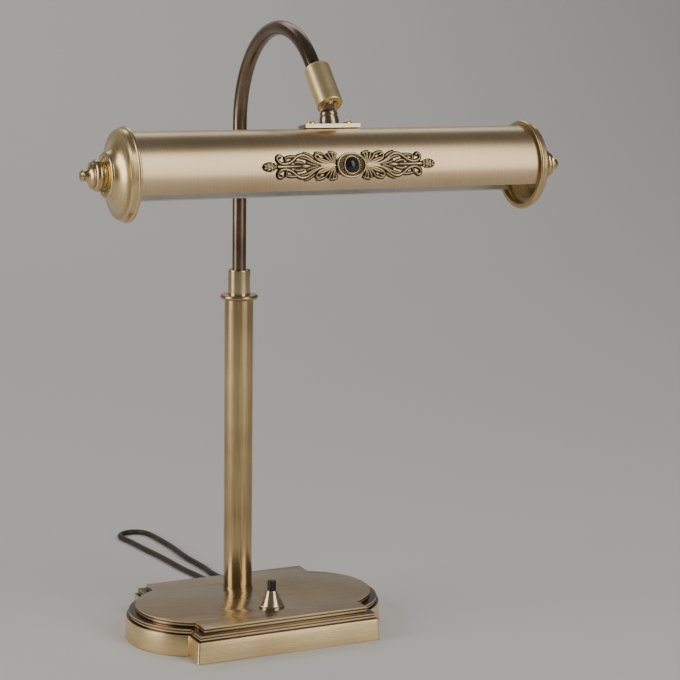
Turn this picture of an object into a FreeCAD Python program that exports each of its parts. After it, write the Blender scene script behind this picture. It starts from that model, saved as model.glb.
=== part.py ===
import FreeCAD, Part
import math
import os
import Sketcher
from FreeCAD import Placement, Rotation, Vector

# A piano lamp: a moulded base, a round column, a crooked arm that turns and slides in the
# column, a ball joint and a long round shade with spun end caps.
# Millimetres. The origin is the middle of the base's underside, +Z up, +X along the shade,
# +Y to the back, where the cord leaves.

doc = FreeCAD.newDocument("piano_lamp")
sheet = doc.addObject("Spreadsheet::Sheet", "sizes")

SIZES = [
    # base
    ("base_half_length", 83.4, "middle block of the base, half its length"),
    ("base_half_width", 77.5, "half the base's depth"),
    ("lobe_radius", 62.8, "round lobe at each end"),
    ("lobe_centre", 51.9, "lobe centre from the middle"),
    ("base_gap", 0.4, "metal edge above the table"),
    ("band_height", 18.5, "plain lower band"),
    ("band_flare", 3.4, "slope of the band, degrees"),
    ("tier_rise", 4.65, "rise of each moulded tier"),
    ("tier_one_inset", 3.2, "first tier, inwards from the foot of the band"),
    ("tier_two_inset", 8.8, "second tier, inwards from the foot of the band"),
    ("plinth_rise", 0.5, "groove under a tier's bead"),
    ("bead_rise", 1.7, "bead of a tier"),
    ("cove_rise", 1.1, "cove above the bead"),
    ("plinth_sink", 0.5, "depth of the groove"),
    ("cove_sink", 0.85, "depth of the cove"),
    ("bead_round", 0.8, "rounding of the bead"),
    ("tier_round", 1.0, "rounding of a tier's upper edge"),
    ("corner_round", 1.8, "upright corners of the band"),
    ("tier_corner", 1.4, "upright corners of the tiers"),
    ("cover_wall", 4.5, "thickness of the cast band"),
    ("cover_top", 3.2, "thickness of the cast top"),
    ("cavity_height", 16.0, "wide part of the hollow underside"),
    ("cavity_inset", 15.5, "narrow part of the hollow, from the foot of the band"),
    ("fit_gap", 0.3, "easy gap between pieces"),
    ("felt_thick", 0.8, "felt under the base"),
    ("bottom_thick", 1.5, "sheet that closes the underside"),
    ("ballast_height", 10.5, "ballast plate"),
    ("ballast_length", 132.0, "ballast plate"),
    ("ballast_width", 118.0, "ballast plate"),
    # column and gland
    ("column_place", 37.0, "column axis behind the middle of the base"),
    ("column_radius", 12.5, "column tube"),
    ("column_wall", 1.2, "column tube"),
    ("column_top", 283.0, "height of the tube's upper end"),
    ("foot_depth", 20.0, "plug inside the lower end of the column"),
    ("foot_stud_radius", 8.0, "threaded end through the base"),
    ("foot_nut_width", 24.0, "across flats"),
    ("foot_nut_height", 5.0, "column nut"),
    ("ring_radius", 16.0, "flange ring on the column"),
    ("ring_height", 4.2, "flange ring"),
    ("ring_spigot", 8.0, "spigot of the flange ring inside the column"),
    ("arm_radius", 6.0, "arm tube"),
    ("arm_wall", 1.0, "arm tube"),
    ("slide_gap", 0.05, "running gap on the arm tube"),
    ("collet_height", 8.0, "friction collet in the gland nut"),
    ("collet_wall", 1.75, "friction collet"),
    ("collet_gap", 0.35, "gap round the collet"),
    ("nut_bore", "=arm_radius + collet_wall + collet_gap", "inside radius of the gland nut"),
    ("nut_wall", 1.6, "gland nut"),
    ("nut_radius", "=nut_bore + nut_wall", "gland nut"),
    ("nut_height", 21.5, "gland nut"),
    ("nut_roof", 2.4, "closed end of the gland nut"),
    ("nut_slot", 4.5, "width of the notches in the nut's end"),
    ("nut_slot_depth", 5.0, "depth of the notches"),
    # arm
    ("arm_foot", 180.0, "height of the arm's lower end"),
    ("arm_straight", 433.1, "height where the bend begins"),
    ("bend_radius", 82.5, "middle line of the crook"),
    ("bend_angle", 137.3, "turn of the crook"),
    ("bend_lead", 9.0, "straight tube between crook and barrel"),
    ("socket_depth", 14.0, "tube inside the barrel"),
    ("guide_height", 14.0, "collar on the arm's lower end"),
    ("vent_radius", 1.3, "small hole in the tube above the barrel"),
    # joint
    ("barrel_radius", 10.3, "joint barrel"),
    ("barrel_length", 37.0, "joint barrel"),
    ("barrel_offset", 3.4, "tube axis from the barrel's axis"),
    ("ball_radius", 6.6, "swivel ball"),
    ("ball_depth", 7.2, "ball centre from the barrel's open end"),
    ("lip_radius", 6.1, "hole in the barrel's open end"),
    ("chamber_gap", 0.3, "ball in its chamber"),
    ("barrel_slot", 12.6, "width of the side slot"),
    ("barrel_slot_length", 13.0, "length of the side slot"),
    ("stud_radius", 2.5, "threaded stud under the ball"),
    ("stud_nut_width", 8.6, "across flats"),
    ("stud_nut_height", 4.0, "nut on the stud"),
    ("ball_height", 23.4, "ball centre above the top of the shade tube"),
    # shade
    ("shade_radius", 31.6, "shade tube"),
    ("shade_wall", 1.0, "shade tube"),
    ("shade_half", 169.1, "half the length between the cap rims"),
    ("shade_opening", 110.7, "open angle along the underside, degrees"),
    ("shade_tilt", 10.25, "the shade leans back by this angle, degrees"),
    ("plate_length", 46.5, "plate on the shade"),
    ("plate_width", 14.0, "plate on the shade"),
    ("plate_thick", 3.0, "plate on the shade"),
    ("bell_radius", 7.8, "foot of the turned bell"),
    ("bell_neck", 4.5, "top of the turned bell"),
    ("bell_height", 11.4, "turned bell"),
    ("screw_spacing", 31.0, "screws in the plate"),
    ("screw_head", 3.7, "radius of a screw head"),
    ("screw_head_height", 2.8, "screw head"),
    ("screw_shank", 2.0, "radius of a screw"),
    ("screw_length", 9.0, "screw under the head"),
    ("cap_overhang", 4.1, "rim of an end cap over the shade tube"),
    ("cap_radius", "=shade_radius + cap_overhang", "rolled rim of an end cap"),
    ("cap_roll", 1.5, "radius of the roll"),
    ("cap_wall", 1.1, "spun sheet"),
    ("cap_depth", 15.6, "rim to the flat boss"),
    ("finial_radius", 12.0, "turned bead of a finial"),
    ("boss_margin", 3.6, "raised ring outside the finial's bead"),
    ("cap_bead", "=finial_radius + boss_margin", "raised ring round the boss"),
    ("finial_length", 18.8, "finial in front of the cap's boss"),
    ("finial_tip", 4.4, "button at the finial's end"),
    ("bracket_length", 60.0, "lamp bracket strip"),
    ("bracket_width", 12.0, "lamp bracket strip"),
    ("bracket_sheet", 2.0, "lamp bracket ears"),
    ("bracket_gap", 17.0, "between the ears"),
    ("holder_radius", 13.0, "lampholder"),
    ("holder_length", 40.0, "lampholder"),
    ("bulb_radius", 12.5, "tubular bulb"),
    ("bulb_length", 84.0, "glass of the bulb"),
    ("bulb_cap_radius", 6.9, "screw cap of the bulb"),
    ("bulb_cap_length", 17.0, "screw cap of the bulb"),
    # ornament
    ("ornament_length", 146.0, "ornament on the front of the shade"),
    ("ornament_height", 21.6, "its overall height"),
    ("ornament_thick", 1.6, "its plate"),
    ("frame_length", 24.8, "oval frame in its middle"),
    ("frame_height", 18.4, "oval frame in its middle"),
    ("frame_thick", 2.6, "oval frame"),
    ("stone_radius", 5.6, "round black stone"),
    ("stone_rise", 2.6, "dome of the stone"),
    # switch
    ("switch_x", 1.0, "push switch, sideways"),
    ("switch_y", -34.5, "push switch, in front of the middle"),
    ("collar_foot", 11.0, "foot radius of the conical collar"),
    ("collar_top", 4.75, "top radius of the conical collar"),
    ("collar_height", 14.5, "conical collar"),
    ("button_radius", 3.65, "push button"),
    ("button_show", 8.5, "button above the collar"),
    ("button_travel", 3.0, "how far the button goes down"),
    ("switch_block", 18.0, "switch under the top, each way"),
    ("switch_depth", 11.0, "switch under the top"),
    ("switch_neck", 5.0, "threaded neck of the switch"),
    ("neck_height", 6.0, "neck above the base's top"),
    # cord
    ("cord_radius", 2.6, "round mains cord"),
    ("cord_pitch", 5.65, "cord to cord in the hank"),
    ("cord_exit_x", 14.0, "cord bushing, sideways"),
    ("cord_exit_z", 10.0, "cord bushing, height"),
    ("bushing_radius", 6.0, "flange of the bushing"),
    ("bushing_neck", 4.3, "neck of the bushing"),
    ("bushing_show", 2.8, "flange in front of the wall"),
    ("hank_near", 39.9, "centre of the hank's left folds"),
    ("hank_run", 56.0, "straight runs of the hank"),
    ("hank_middle", 102.0, "hank's middle line, from the base's middle"),
    ("hank_half", 20.2, "outermost run from the hank's middle line"),
    ("plug_length", 30.0, "plug body"),
    ("plug_width", 30.0, "plug body"),
    ("plug_thick", 13.7, "plug body"),
    ("plug_relief", 8.0, "strain relief of the plug"),
    ("pin_radius", 2.0, "plug pin"),
    ("pin_length", 19.0, "plug pin"),
    ("pin_spacing", 18.6, "between the pins"),
]


class Dim:
    """A size that keeps its number together with the formula it comes from."""

    def __init__(self, number, text):
        self.number = float(number)
        self.text = text

    def __add__(self, other):
        other = dim(other)
        return Dim(self.number + other.number, f"({self.text} + {other.text})")

    def __radd__(self, other):
        return dim(other) + self

    def __sub__(self, other):
        other = dim(other)
        return Dim(self.number - other.number, f"({self.text} - {other.text})")

    def __rsub__(self, other):
        return dim(other) - self

    def __mul__(self, other):
        other = dim(other)
        return Dim(self.number * other.number, f"({self.text} * {other.text})")

    def __rmul__(self, other):
        return dim(other) * self

    def __truediv__(self, other):
        other = dim(other)
        return Dim(self.number / other.number, f"({self.text} / {other.text})")

    def __neg__(self):
        return 0 - self

    def __float__(self):
        return self.number


def dim(value):
    if isinstance(value, Dim):
        return value
    return Dim(value, f"({value:.9g})")


def root(value):
    value = dim(value)
    return Dim(math.sqrt(value.number), f"sqrt({value.text})")


def cosine(angle):
    angle = dim(angle)
    return Dim(math.cos(math.radians(angle.number)), f"cos({angle.text})")


def sine(angle):
    angle = dim(angle)
    return Dim(math.sin(math.radians(angle.number)), f"sin({angle.text})")


S = {}
for row, (alias, number, note) in enumerate(SIZES, start=1):
    sheet.set(f"A{row}", alias)
    sheet.set(f"B{row}", str(number))
    sheet.set(f"C{row}", note)
    sheet.setAlias(f"B{row}", alias)
doc.recompute()
for alias, _, _ in SIZES:
    S[alias] = Dim(sheet.get(alias), f"sizes.{alias}")

nodes = {}


def node(thing, label, placement=None):
    """Names a finished piece and puts it in its place."""
    thing.Label = label
    if placement is not None:
        thing.Placement = placement
    nodes[label] = thing
    return thing


def bind(thing, name, value):
    value = dim(value)
    thing.setExpression(name, value.text)


def new_body(name):
    return doc.addObject("PartDesign::Body", name)


def plane_of(body, role):
    return [f for f in body.Origin.OriginFeatures if f.Role == role][0]


def new_sketch(body, name, role, lift=0):
    sketch = body.newObject("Sketcher::SketchObject", name)
    sketch.AttachmentSupport = (plane_of(body, role), [""])
    sketch.MapMode = "FlatFace"
    lift = dim(lift)
    sketch.AttachmentOffset = Placement(Vector(0, 0, lift.number), Rotation())
    bind(sketch, "AttachmentOffset.Base.z", lift)
    return sketch


def pin_point(index, end, x, y, rules, texts):
    """Holds one corner of a sketch at its x and y."""
    for kind, axis, value in (("DistanceX", -2, x), ("DistanceY", -1, y)):
        if isinstance(value, Dim):
            rules.append(Sketcher.Constraint(kind, -1, 1, index, end, value.number))
            texts.append((len(rules) - 1, value.text))
        elif value == 0:
            rules.append(Sketcher.Constraint("PointOnObject", index, end, axis))
        else:
            rules.append(Sketcher.Constraint(kind, -1, 1, index, end, float(value)))


def arc_through(start, end, radius, side):
    """The short arc between two points that bows to the left (side 1) or the right (-1).

    It is drawn anticlockwise, so one that bows to the left runs from its end to its start.
    """
    chord = end - start
    middle = (start + end) * 0.5
    left = Vector(-chord.y, chord.x, 0).normalize()
    drop = math.sqrt(max(radius**2 - (chord.Length / 2) ** 2, 0.0))
    centre = middle - left * (side * drop)
    first, last = (start, end) if side < 0 else (end, start)
    circle = Part.Circle(centre, Vector(0, 0, 1), radius)
    from_angle = math.atan2(first.y - centre.y, first.x - centre.x)
    to_angle = math.atan2(last.y - centre.y, last.x - centre.x)
    if to_angle < from_angle:
        to_angle += 2 * math.pi
    return Part.ArcOfCircle(circle, from_angle, to_angle)


def outline(sketch, corners):
    """Draws a closed outline.

    A corner is (x, y), or (x, y, bow) where the edge that ends there is an arc whose height is
    bow times its chord, or (x, y, side, radius) for an arc of a given radius.
    """
    shapes = []
    lefts = []
    rules = []
    texts = []
    count = len(corners)
    points = [Vector(float(c[0]), float(c[1]), 0) for c in corners]
    for i in range(count):
        nxt = (i + 1) % count
        rule = corners[nxt][2:]
        if not rule:
            shapes.append(Part.LineSegment(points[i], points[nxt]))
            lefts.append(False)
            continue
        side = 1 if rule[0] > 0 else -1
        if len(rule) == 2:
            radius = dim(rule[1])
        else:
            bow = abs(rule[0])
            across = dim(corners[nxt][0]) - dim(corners[i][0])
            along = dim(corners[nxt][1]) - dim(corners[i][1])
            radius = root(across * across + along * along) * ((0.25 + bow**2) / (2 * bow))
        shapes.append(arc_through(points[i], points[nxt], radius.number, side))
        lefts.append(side > 0)
        rules.append(Sketcher.Constraint("Radius", i, radius.number))
        texts.append((len(rules) - 1, radius.text))
    ends = [(2, 1) if bows_left else (1, 2) for bows_left in lefts]
    for i in range(count):
        nxt = (i + 1) % count
        rules.append(Sketcher.Constraint("Coincident", i, ends[i][1], nxt, ends[nxt][0]))
    for i in range(count):
        pin_point(i, ends[i][0], corners[i][0], corners[i][1], rules, texts)
    sketch.addGeometry(shapes, False)
    sketch.addConstraint(rules)
    for index, text in texts:
        sketch.setExpression(f"Constraints[{index}]", text)
    return sketch


def ring(sketch, x, y, radius):
    """Adds a circle to a sketch."""
    x, y, radius = dim(x), dim(y), dim(radius)
    index = sketch.addGeometry(Part.Circle(Vector(x.number, y.number, 0), Vector(0, 0, 1),
                                           radius.number), False)
    for kind, value in (("DistanceX", x), ("DistanceY", y)):
        if abs(value.number) < 1e-9:
            axis = -2 if kind == "DistanceX" else -1
            sketch.addConstraint(Sketcher.Constraint("PointOnObject", index, 3, axis))
            continue
        rule = sketch.addConstraint(Sketcher.Constraint(kind, -1, 1, index, 3, value.number))
        sketch.setExpression(f"Constraints[{rule}]", value.text)
    rule = sketch.addConstraint(Sketcher.Constraint("Radius", index, radius.number))
    sketch.setExpression(f"Constraints[{rule}]", radius.text)
    return sketch


def pad(body, sketch, length, name, taper=None):
    feature = body.newObject("PartDesign::Pad", name)
    feature.Profile = sketch
    feature.Length = dim(length).number
    bind(feature, "Length", length)
    if taper is not None:
        feature.TaperAngle = dim(taper).number
        bind(feature, "TaperAngle", taper)
    sketch.Visibility = False
    return feature


def cut(body, sketch, depth, name, forwards=True):
    """Cuts along the sketch's normal, or against it."""
    feature = body.newObject("PartDesign::Pocket", name)
    feature.Profile = sketch
    feature.Length = dim(depth).number
    feature.Reversed = forwards
    bind(feature, "Length", depth)
    return feature


def turned(name, corners, label=None, placement=None):
    """A piece turned about its own Z axis from corners given as (radius, height)."""
    body = new_body(name)
    sketch = outline(new_sketch(body, name + "_profile", "XZ_Plane"), corners)
    feature = body.newObject("PartDesign::Revolution", name + "_turned")
    feature.Profile = sketch
    feature.ReferenceAxis = (sketch, ["V_Axis"])
    feature.Angle = 360
    if label:
        node(body, label, placement)
    return body


def dome(run, rise):
    """Radius of the arc that meets a turned piece's axis square on."""
    run, rise = dim(run), dim(rise)
    return (run * run + rise * rise) / (rise * 2)


def rounded(body, radius, name, wanted):
    """Rounds the edges of the newest feature that the test picks."""
    doc.recompute()
    feature = body.Tip
    names = [f"Edge{i}" for i, edge in enumerate(feature.Shape.Edges, start=1) if wanted(edge)]
    if not names:
        raise RuntimeError(f"{name} has no edges to round")
    fillet = body.newObject("PartDesign::Fillet", name)
    fillet.Base = (feature, names)
    fillet.Radius = dim(radius).number
    bind(fillet, "Radius", radius)
    return fillet


def level(edge, z, gap=0.02):
    box = edge.BoundBox
    return abs(box.ZMin - z) < gap and abs(box.ZMax - z) < gap


def upright(edge):
    box = edge.BoundBox
    return box.XLength < 0.02 and box.YLength < 0.02 and box.ZLength > 0.5


def box(name, length, width, height, centre=None):
    """A block, centred in X and Y on its own origin, standing on its own Z zero."""
    thing = doc.addObject("Part::Box", name)
    for prop, value in (("Length", length), ("Width", width), ("Height", height)):
        bind(thing, prop, value)
    thing.Placement = Placement(Vector(-float(length) / 2, -float(width) / 2, 0), Rotation())
    if centre is not None:
        thing.Placement = Placement(centre, Rotation()) * thing.Placement
    return thing


def cylinder(name, radius, height, placement=None):
    thing = doc.addObject("Part::Cylinder", name)
    bind(thing, "Radius", radius)
    bind(thing, "Height", height)
    if placement is not None:
        thing.Placement = placement
    return thing


def prism(name, width, height, placement=None):
    """A six-sided nut blank, given across its flats."""
    thing = doc.addObject("Part::Prism", name)
    thing.Polygon = 6
    bind(thing, "Circumradius", dim(width) / math.sqrt(3))
    bind(thing, "Height", height)
    if placement is not None:
        thing.Placement = placement
    return thing


def minus(name, first, *others):
    result = first
    for i, other in enumerate(others):
        last = i == len(others) - 1
        step = doc.addObject("Part::Cut", name if last else f"{name}_step_{i + 1}")
        step.Base = result
        step.Tool = other
        result = step
    return result


def plus(name, *pieces):
    thing = doc.addObject("Part::MultiFuse", name)
    thing.Shapes = list(pieces)
    return thing


def at(x, y, z, axis=(0, 0, 1), angle=0):
    return Placement(Vector(float(x), float(y), float(z)), Rotation(Vector(*axis), float(angle)))


def lamp_outline(sketch, inset, corner=None):
    """The base seen from above: a block with a round lobe at each end, drawn smaller by inset."""
    c = S["tier_corner"] if corner is None else corner
    length = S["base_half_length"] - inset
    width = S["base_half_width"] - inset
    lobe = S["lobe_radius"] - inset
    reach = length - S["lobe_centre"]
    half = root(lobe * lobe - reach * reach)
    return outline(sketch, [
        (length - c, -width),
        (length, -(width - c), -1, c),
        (length, -half),
        (length, half, -1, lobe),
        (length, width - c),
        (length - c, width, -1, c),
        (-(length - c), width),
        (-length, width - c, -1, c),
        (-length, half),
        (-length, -half, -1, lobe),
        (-length, -(width - c)),
        (-(length - c), -width, -1, c),
    ])


# ---- base cover: cast brass, open underneath; each tier is a groove, a bead, a cove and a
# rounded edge
base_top = S["band_height"] + 2 * S["tier_rise"]
cover = new_body("cover")
band = new_sketch(cover, "band_outline", "XY_Plane", S["base_gap"])
pad(cover, lamp_outline(band, dim(0), S["corner_round"]), S["band_height"] - S["base_gap"], "band",
    taper=-S["band_flare"])
tier_low = S["band_height"]
for word, inset in (("one", S["tier_one_inset"]), ("two", S["tier_two_inset"])):
    stand = tier_low
    for part, sunk, high, bend in (
            ("plinth", S["plinth_sink"], S["plinth_rise"], None),
            ("bead", dim(0), S["bead_rise"], S["bead_round"]),
            ("cove", S["cove_sink"], S["cove_rise"], None),
            ("edge", dim(0), S["tier_rise"] - S["plinth_rise"] - S["bead_rise"] - S["cove_rise"],
             S["tier_round"])):
        shape = new_sketch(cover, f"{part}_{word}_outline", "XY_Plane", stand)
        pad(cover, lamp_outline(shape, inset + sunk), high, f"{part}_{word}")
        stand = stand + high
        if bend is not None:
            rounded(cover, bend, f"{part}_{word}_rounding", lambda e: level(e, float(stand)))
    tier_low = tier_low + S["tier_rise"]
wide = new_sketch(cover, "wide_hollow", "XY_Plane", 0)
cut(cover, lamp_outline(wide, S["cover_wall"]), S["cavity_height"], "wide_cut")
narrow = new_sketch(cover, "narrow_hollow", "XY_Plane", 0)
cut(cover, lamp_outline(narrow, S["cavity_inset"]), base_top - S["cover_top"], "narrow_cut")
holes = new_sketch(cover, "top_holes", "XY_Plane", 0)
ring(holes, 0, S["column_place"], S["foot_stud_radius"] + S["fit_gap"])
ring(holes, S["switch_x"], S["switch_y"], S["switch_neck"] + S["fit_gap"])
cut(cover, holes, base_top + 5, "holes_cut")
outlet = new_sketch(cover, "cord_outlet", "XZ_Plane", 5 - S["base_half_width"])
ring(outlet, S["cord_exit_x"], S["cord_exit_z"], S["bushing_neck"] + 0.1)
cut(cover, outlet, 15, "outlet_cut", forwards=False)
node(cover, "base_cover")

# ---- closed underside: felt, sheet and ballast lie on one another
inside = S["cover_wall"] + S["fit_gap"]
felt = new_body("felt")
pad(felt, lamp_outline(new_sketch(felt, "felt_outline", "XY_Plane", 0), inside + 1),
    S["felt_thick"], "felt_pad")
node(felt, "base_felt")
bottom = new_body("bottom")
pad(bottom, lamp_outline(new_sketch(bottom, "bottom_outline", "XY_Plane", S["felt_thick"]), inside),
    S["bottom_thick"], "bottom_pad")
node(bottom, "base_bottom")
ballast_z = S["felt_thick"] + S["bottom_thick"]
ballast = box("ballast_block", S["ballast_length"], S["ballast_width"], S["ballast_height"],
              Vector(0, 0, float(ballast_z)))
switch_room = box("switch_room", S["switch_block"] + 6, S["switch_block"] + 6, 40,
                  Vector(float(S["switch_x"]), float(S["switch_y"]), -5))
foot_room = cylinder("foot_room", S["foot_nut_width"] / 2 + 5, 40,
                     at(0, S["column_place"], -5))
node(minus("ballast", ballast, switch_room, foot_room), "base_ballast")

# ---- column: tube, threaded foot through the base's top, nut beneath it
bore = S["column_radius"] - S["column_wall"]
column = new_body("column_body")
column_ends = new_sketch(column, "column_ends", "XY_Plane", base_top)
ring(column_ends, 0, 0, S["column_radius"])
ring(column_ends, 0, 0, bore)
pad(column, column_ends, S["column_top"] - base_top, "column_tube")
node(column, "column", at(0, S["column_place"], 0))
stud_end = base_top - S["cover_top"] - S["foot_nut_height"] - 1.5
turned("foot", [
    (0, stud_end),
    (S["foot_stud_radius"] - 0.8, stud_end),
    (S["foot_stud_radius"], stud_end + 0.8),
    (S["foot_stud_radius"], base_top),
    (bore, base_top),
    (bore, base_top + S["foot_depth"] - 1.5),
    (bore - 1.5, base_top + S["foot_depth"]),
    (0, base_top + S["foot_depth"]),
], "column_foot", at(0, S["column_place"], 0))
foot_blank = prism("foot_nut_blank", S["foot_nut_width"], S["foot_nut_height"])
foot_hole = cylinder("foot_nut_hole", S["foot_stud_radius"], 20, at(0, 0, -5))
node(minus("foot_nut_cut", foot_blank, foot_hole), "column_nut",
     at(0, S["column_place"], base_top - S["cover_top"] - S["foot_nut_height"]))

# ---- flange ring on the column's end, with the threaded neck that carries the gland nut
arm_bore = S["arm_radius"] + S["fit_gap"]
ring_top = S["column_top"] + S["ring_height"]
turned("flange", [
    (arm_bore, S["column_top"] - S["ring_spigot"]),
    (bore, S["column_top"] - S["ring_spigot"]),
    (bore, S["column_top"]),
    (S["ring_radius"] - S["ring_height"] / 4, S["column_top"]),
    (S["ring_radius"] - S["ring_height"] / 4, ring_top, -0.36),
    (S["nut_bore"] - 0.05, ring_top),
    (S["nut_bore"] - 0.05, ring_top + S["nut_height"] - S["nut_roof"] - S["collet_height"] - 0.6),
    (arm_bore, ring_top + S["nut_height"] - S["nut_roof"] - S["collet_height"] - 0.6),
], "flange_ring", at(0, S["column_place"], 0))

# ---- gland nut: round, its end notched across for a key
nut_top = ring_top + S["nut_height"]
gland = turned("gland", [
    (S["nut_bore"], ring_top),
    (S["nut_radius"], ring_top),
    (S["nut_radius"], nut_top - 1.2),
    (S["nut_radius"] - 1.2, nut_top, -0.2),
    (arm_bore, nut_top),
    (arm_bore, nut_top - S["nut_roof"]),
    (S["nut_bore"], nut_top - S["nut_roof"]),
])
notch = box("notch", S["nut_slot"], 60, S["nut_slot_depth"] + 5)
notch.Placement = at(0, 0, nut_top - S["nut_slot_depth"], (0, 0, 1), 62) * notch.Placement
node(minus("gland_notched", gland, notch), "gland_nut", at(0, S["column_place"], 0))
collet_top = nut_top - S["nut_roof"] - 0.3
turned("collet_body", [
    (S["arm_radius"] + S["slide_gap"], collet_top - S["collet_height"]),
    (S["arm_radius"] + S["collet_wall"], collet_top - S["collet_height"]),
    (S["arm_radius"] + S["collet_wall"], collet_top - 1.2),
    (S["arm_radius"] + S["collet_wall"] - 0.8, collet_top),
    (S["arm_radius"] + S["slide_gap"], collet_top),
], "collet", at(0, S["column_place"], 0))

# ---- arm: one tube, straight in the column, then a crook that comes down to the barrel
turn = float(S["bend_angle"])
crook_y = float(S["column_place"] - S["bend_radius"])
crook_z = float(S["arm_straight"])
radius = float(S["bend_radius"])


def on_crook(angle):
    a = math.radians(angle)
    return Vector(0, crook_y + radius * math.cos(a), crook_z + radius * math.sin(a))


crook_end = on_crook(turn)
heading = Vector(0, -math.sin(math.radians(turn)), math.cos(math.radians(turn)))
tube_end = crook_end + heading * float(S["bend_lead"] + S["socket_depth"])
arm_start = Vector(0, float(S["column_place"]), float(S["arm_foot"]))
arm_path = Part.Wire([
    Part.LineSegment(arm_start, on_crook(0)).toShape(),
    Part.Arc(on_crook(0), on_crook(turn / 2), crook_end).toShape(),
    Part.LineSegment(crook_end, tube_end).toShape(),
])


def tube_on(path, start, direction, tube_radius):
    end = Part.Wire(Part.Circle(start, direction, tube_radius).toShape())
    return path.makePipeShell([end], True, False)


arm_shape = tube_on(arm_path, arm_start, Vector(0, 0, 1), float(S["arm_radius"]))
arm_shape = arm_shape.cut(tube_on(arm_path, arm_start, Vector(0, 0, 1),
                                  float(S["arm_radius"] - S["arm_wall"])))
vent_spot = crook_end + heading * (float(S["bend_lead"]) - 4.5)
vent_way = Vector(-0.45, -0.55, 0.70).normalize()
vent = Part.makeCylinder(float(S["vent_radius"]), float(S["arm_radius"]) + 3, vent_spot, vent_way)
arm = doc.addObject("Part::Feature", "arm")
arm.Shape = arm_shape.cut(vent)
node(arm, "arm_tube")
turned("guide", [
    (S["arm_radius"] + 0.03, 0),
    (bore - S["fit_gap"] - 1, 0),
    (bore - S["fit_gap"], 1),
    (bore - S["fit_gap"], S["guide_height"] - 1),
    (bore - S["fit_gap"] - 1, S["guide_height"]),
    (S["arm_radius"] + 0.03, S["guide_height"]),
], "arm_guide", at(0, S["column_place"], S["arm_foot"]))

# ---- joint barrel: the tube's socket is off its middle, the open end holds the ball, and a
# slot down its under side lets the stud swing out
lean = Rotation(Vector(0, 0, 1), -heading)
down_back = Vector(0, -heading.z, heading.y)
barrel_top = crook_end + heading * float(S["bend_lead"]) - down_back * float(S["barrel_offset"])
barrel_end = barrel_top + heading * float(S["barrel_length"])
barrel_place = Placement(barrel_end, lean)
chamber = S["ball_radius"] + S["chamber_gap"]
lip = S["ball_depth"] - root(S["ball_radius"] * S["ball_radius"] - S["lip_radius"] * S["lip_radius"])
cup_floor = S["ball_depth"] + S["ball_radius"] * 0.55
barrel = turned("barrel_turning", [
    (S["lip_radius"], 0),
    (S["barrel_radius"] - 0.5, 0),
    (S["barrel_radius"], 0.5),
    (S["barrel_radius"], S["barrel_length"] - 0.8),
    (S["barrel_radius"] - 0.8, S["barrel_length"], 0.2),
    (0, S["barrel_length"]),
    (0, cup_floor + 6),
    (chamber, cup_floor + 6),
    (chamber, lip - 0.25),
    (S["lip_radius"], lip - 0.25),
])
tube_hole = cylinder("tube_hole", S["arm_radius"] + 0.04, S["socket_depth"] + 5,
                     at(0, S["barrel_offset"], S["barrel_length"] - S["socket_depth"]))
side_slot = box("side_slot", S["barrel_slot"], 20, S["barrel_slot_length"] + 5,
                Vector(0, 10, -5))
node(minus("barrel_cut", barrel, tube_hole, side_slot), "barrel", barrel_place)
turned("cup", [
    (0, cup_floor + 6),
    (0, cup_floor + 3.08),
    (S["ball_radius"] * 0.5, cup_floor + 2.7),
    (S["ball_radius"] * 0.93, cup_floor - 0.2),
    (chamber - 0.04, cup_floor - 0.2),
    (chamber - 0.04, cup_floor + 6),
], "ball_cup", barrel_place)

# ---- swivel: ball and stud in one, with a nut that shows above the bell
tilt = float(S["shade_tilt"])
stem_up = Vector(0, math.sin(math.radians(tilt)), math.cos(math.radians(tilt)))
ball_spot = barrel_end - heading * float(S["ball_depth"])
shade_spot = ball_spot - stem_up * float(S["ball_height"] + S["shade_radius"])
shade_place = Placement(shade_spot, Rotation(Vector(1, 0, 0), -tilt))
top = S["shade_radius"]
plate_top = top + S["plate_thick"]
ball_z = top + S["ball_height"]
strip_floor = top - S["shade_wall"] - 4.6
stud_low = strip_floor - 7
neck_meet = root(S["ball_radius"] * S["ball_radius"] - S["stud_radius"] * S["stud_radius"])
turned("ball", [
    (0, stud_low),
    (S["stud_radius"] - 0.5, stud_low),
    (S["stud_radius"], stud_low + 0.5),
    (S["stud_radius"], ball_z - neck_meet),
    (S["ball_radius"], ball_z, -1, S["ball_radius"]),
    (0, ball_z + S["ball_radius"], -1, S["ball_radius"]),
], "ball_stud", shade_place)
nut_low = plate_top + S["bell_height"] + 0.02
stud_nut = prism("stud_nut_blank", S["stud_nut_width"], S["stud_nut_height"], at(0, 0, nut_low))
stud_hole = cylinder("stud_nut_hole", S["stud_radius"] + 0.03, 10, at(0, 0, nut_low - 2))
nut_clear = doc.addObject("Part::Sphere", "nut_clear")
bind(nut_clear, "Radius", S["ball_radius"])
nut_clear.Placement = at(0, 0, ball_z)
node(minus("stud_nut_cut", stud_nut, stud_hole, nut_clear), "stud_nut",
     shade_place * at(0, 0, 0, (0, 0, 1), 30))
washer = cylinder("washer_disc", S["stud_radius"] * 2, 1, at(0, 0, strip_floor - 1.05))
washer_hole = cylinder("washer_hole", S["stud_radius"], 10, at(0, 0, strip_floor - 5))
node(minus("washer_cut", washer, washer_hole), "stud_washer", shade_place)
end_nut = prism("end_nut_blank", 8, 4, at(0, 0, strip_floor - 5.05))
end_hole = cylinder("end_nut_hole", S["stud_radius"], 10, at(0, 0, strip_floor - 8))
node(minus("end_nut_cut", end_nut, end_hole), "stud_end_nut", shade_place)

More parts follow.
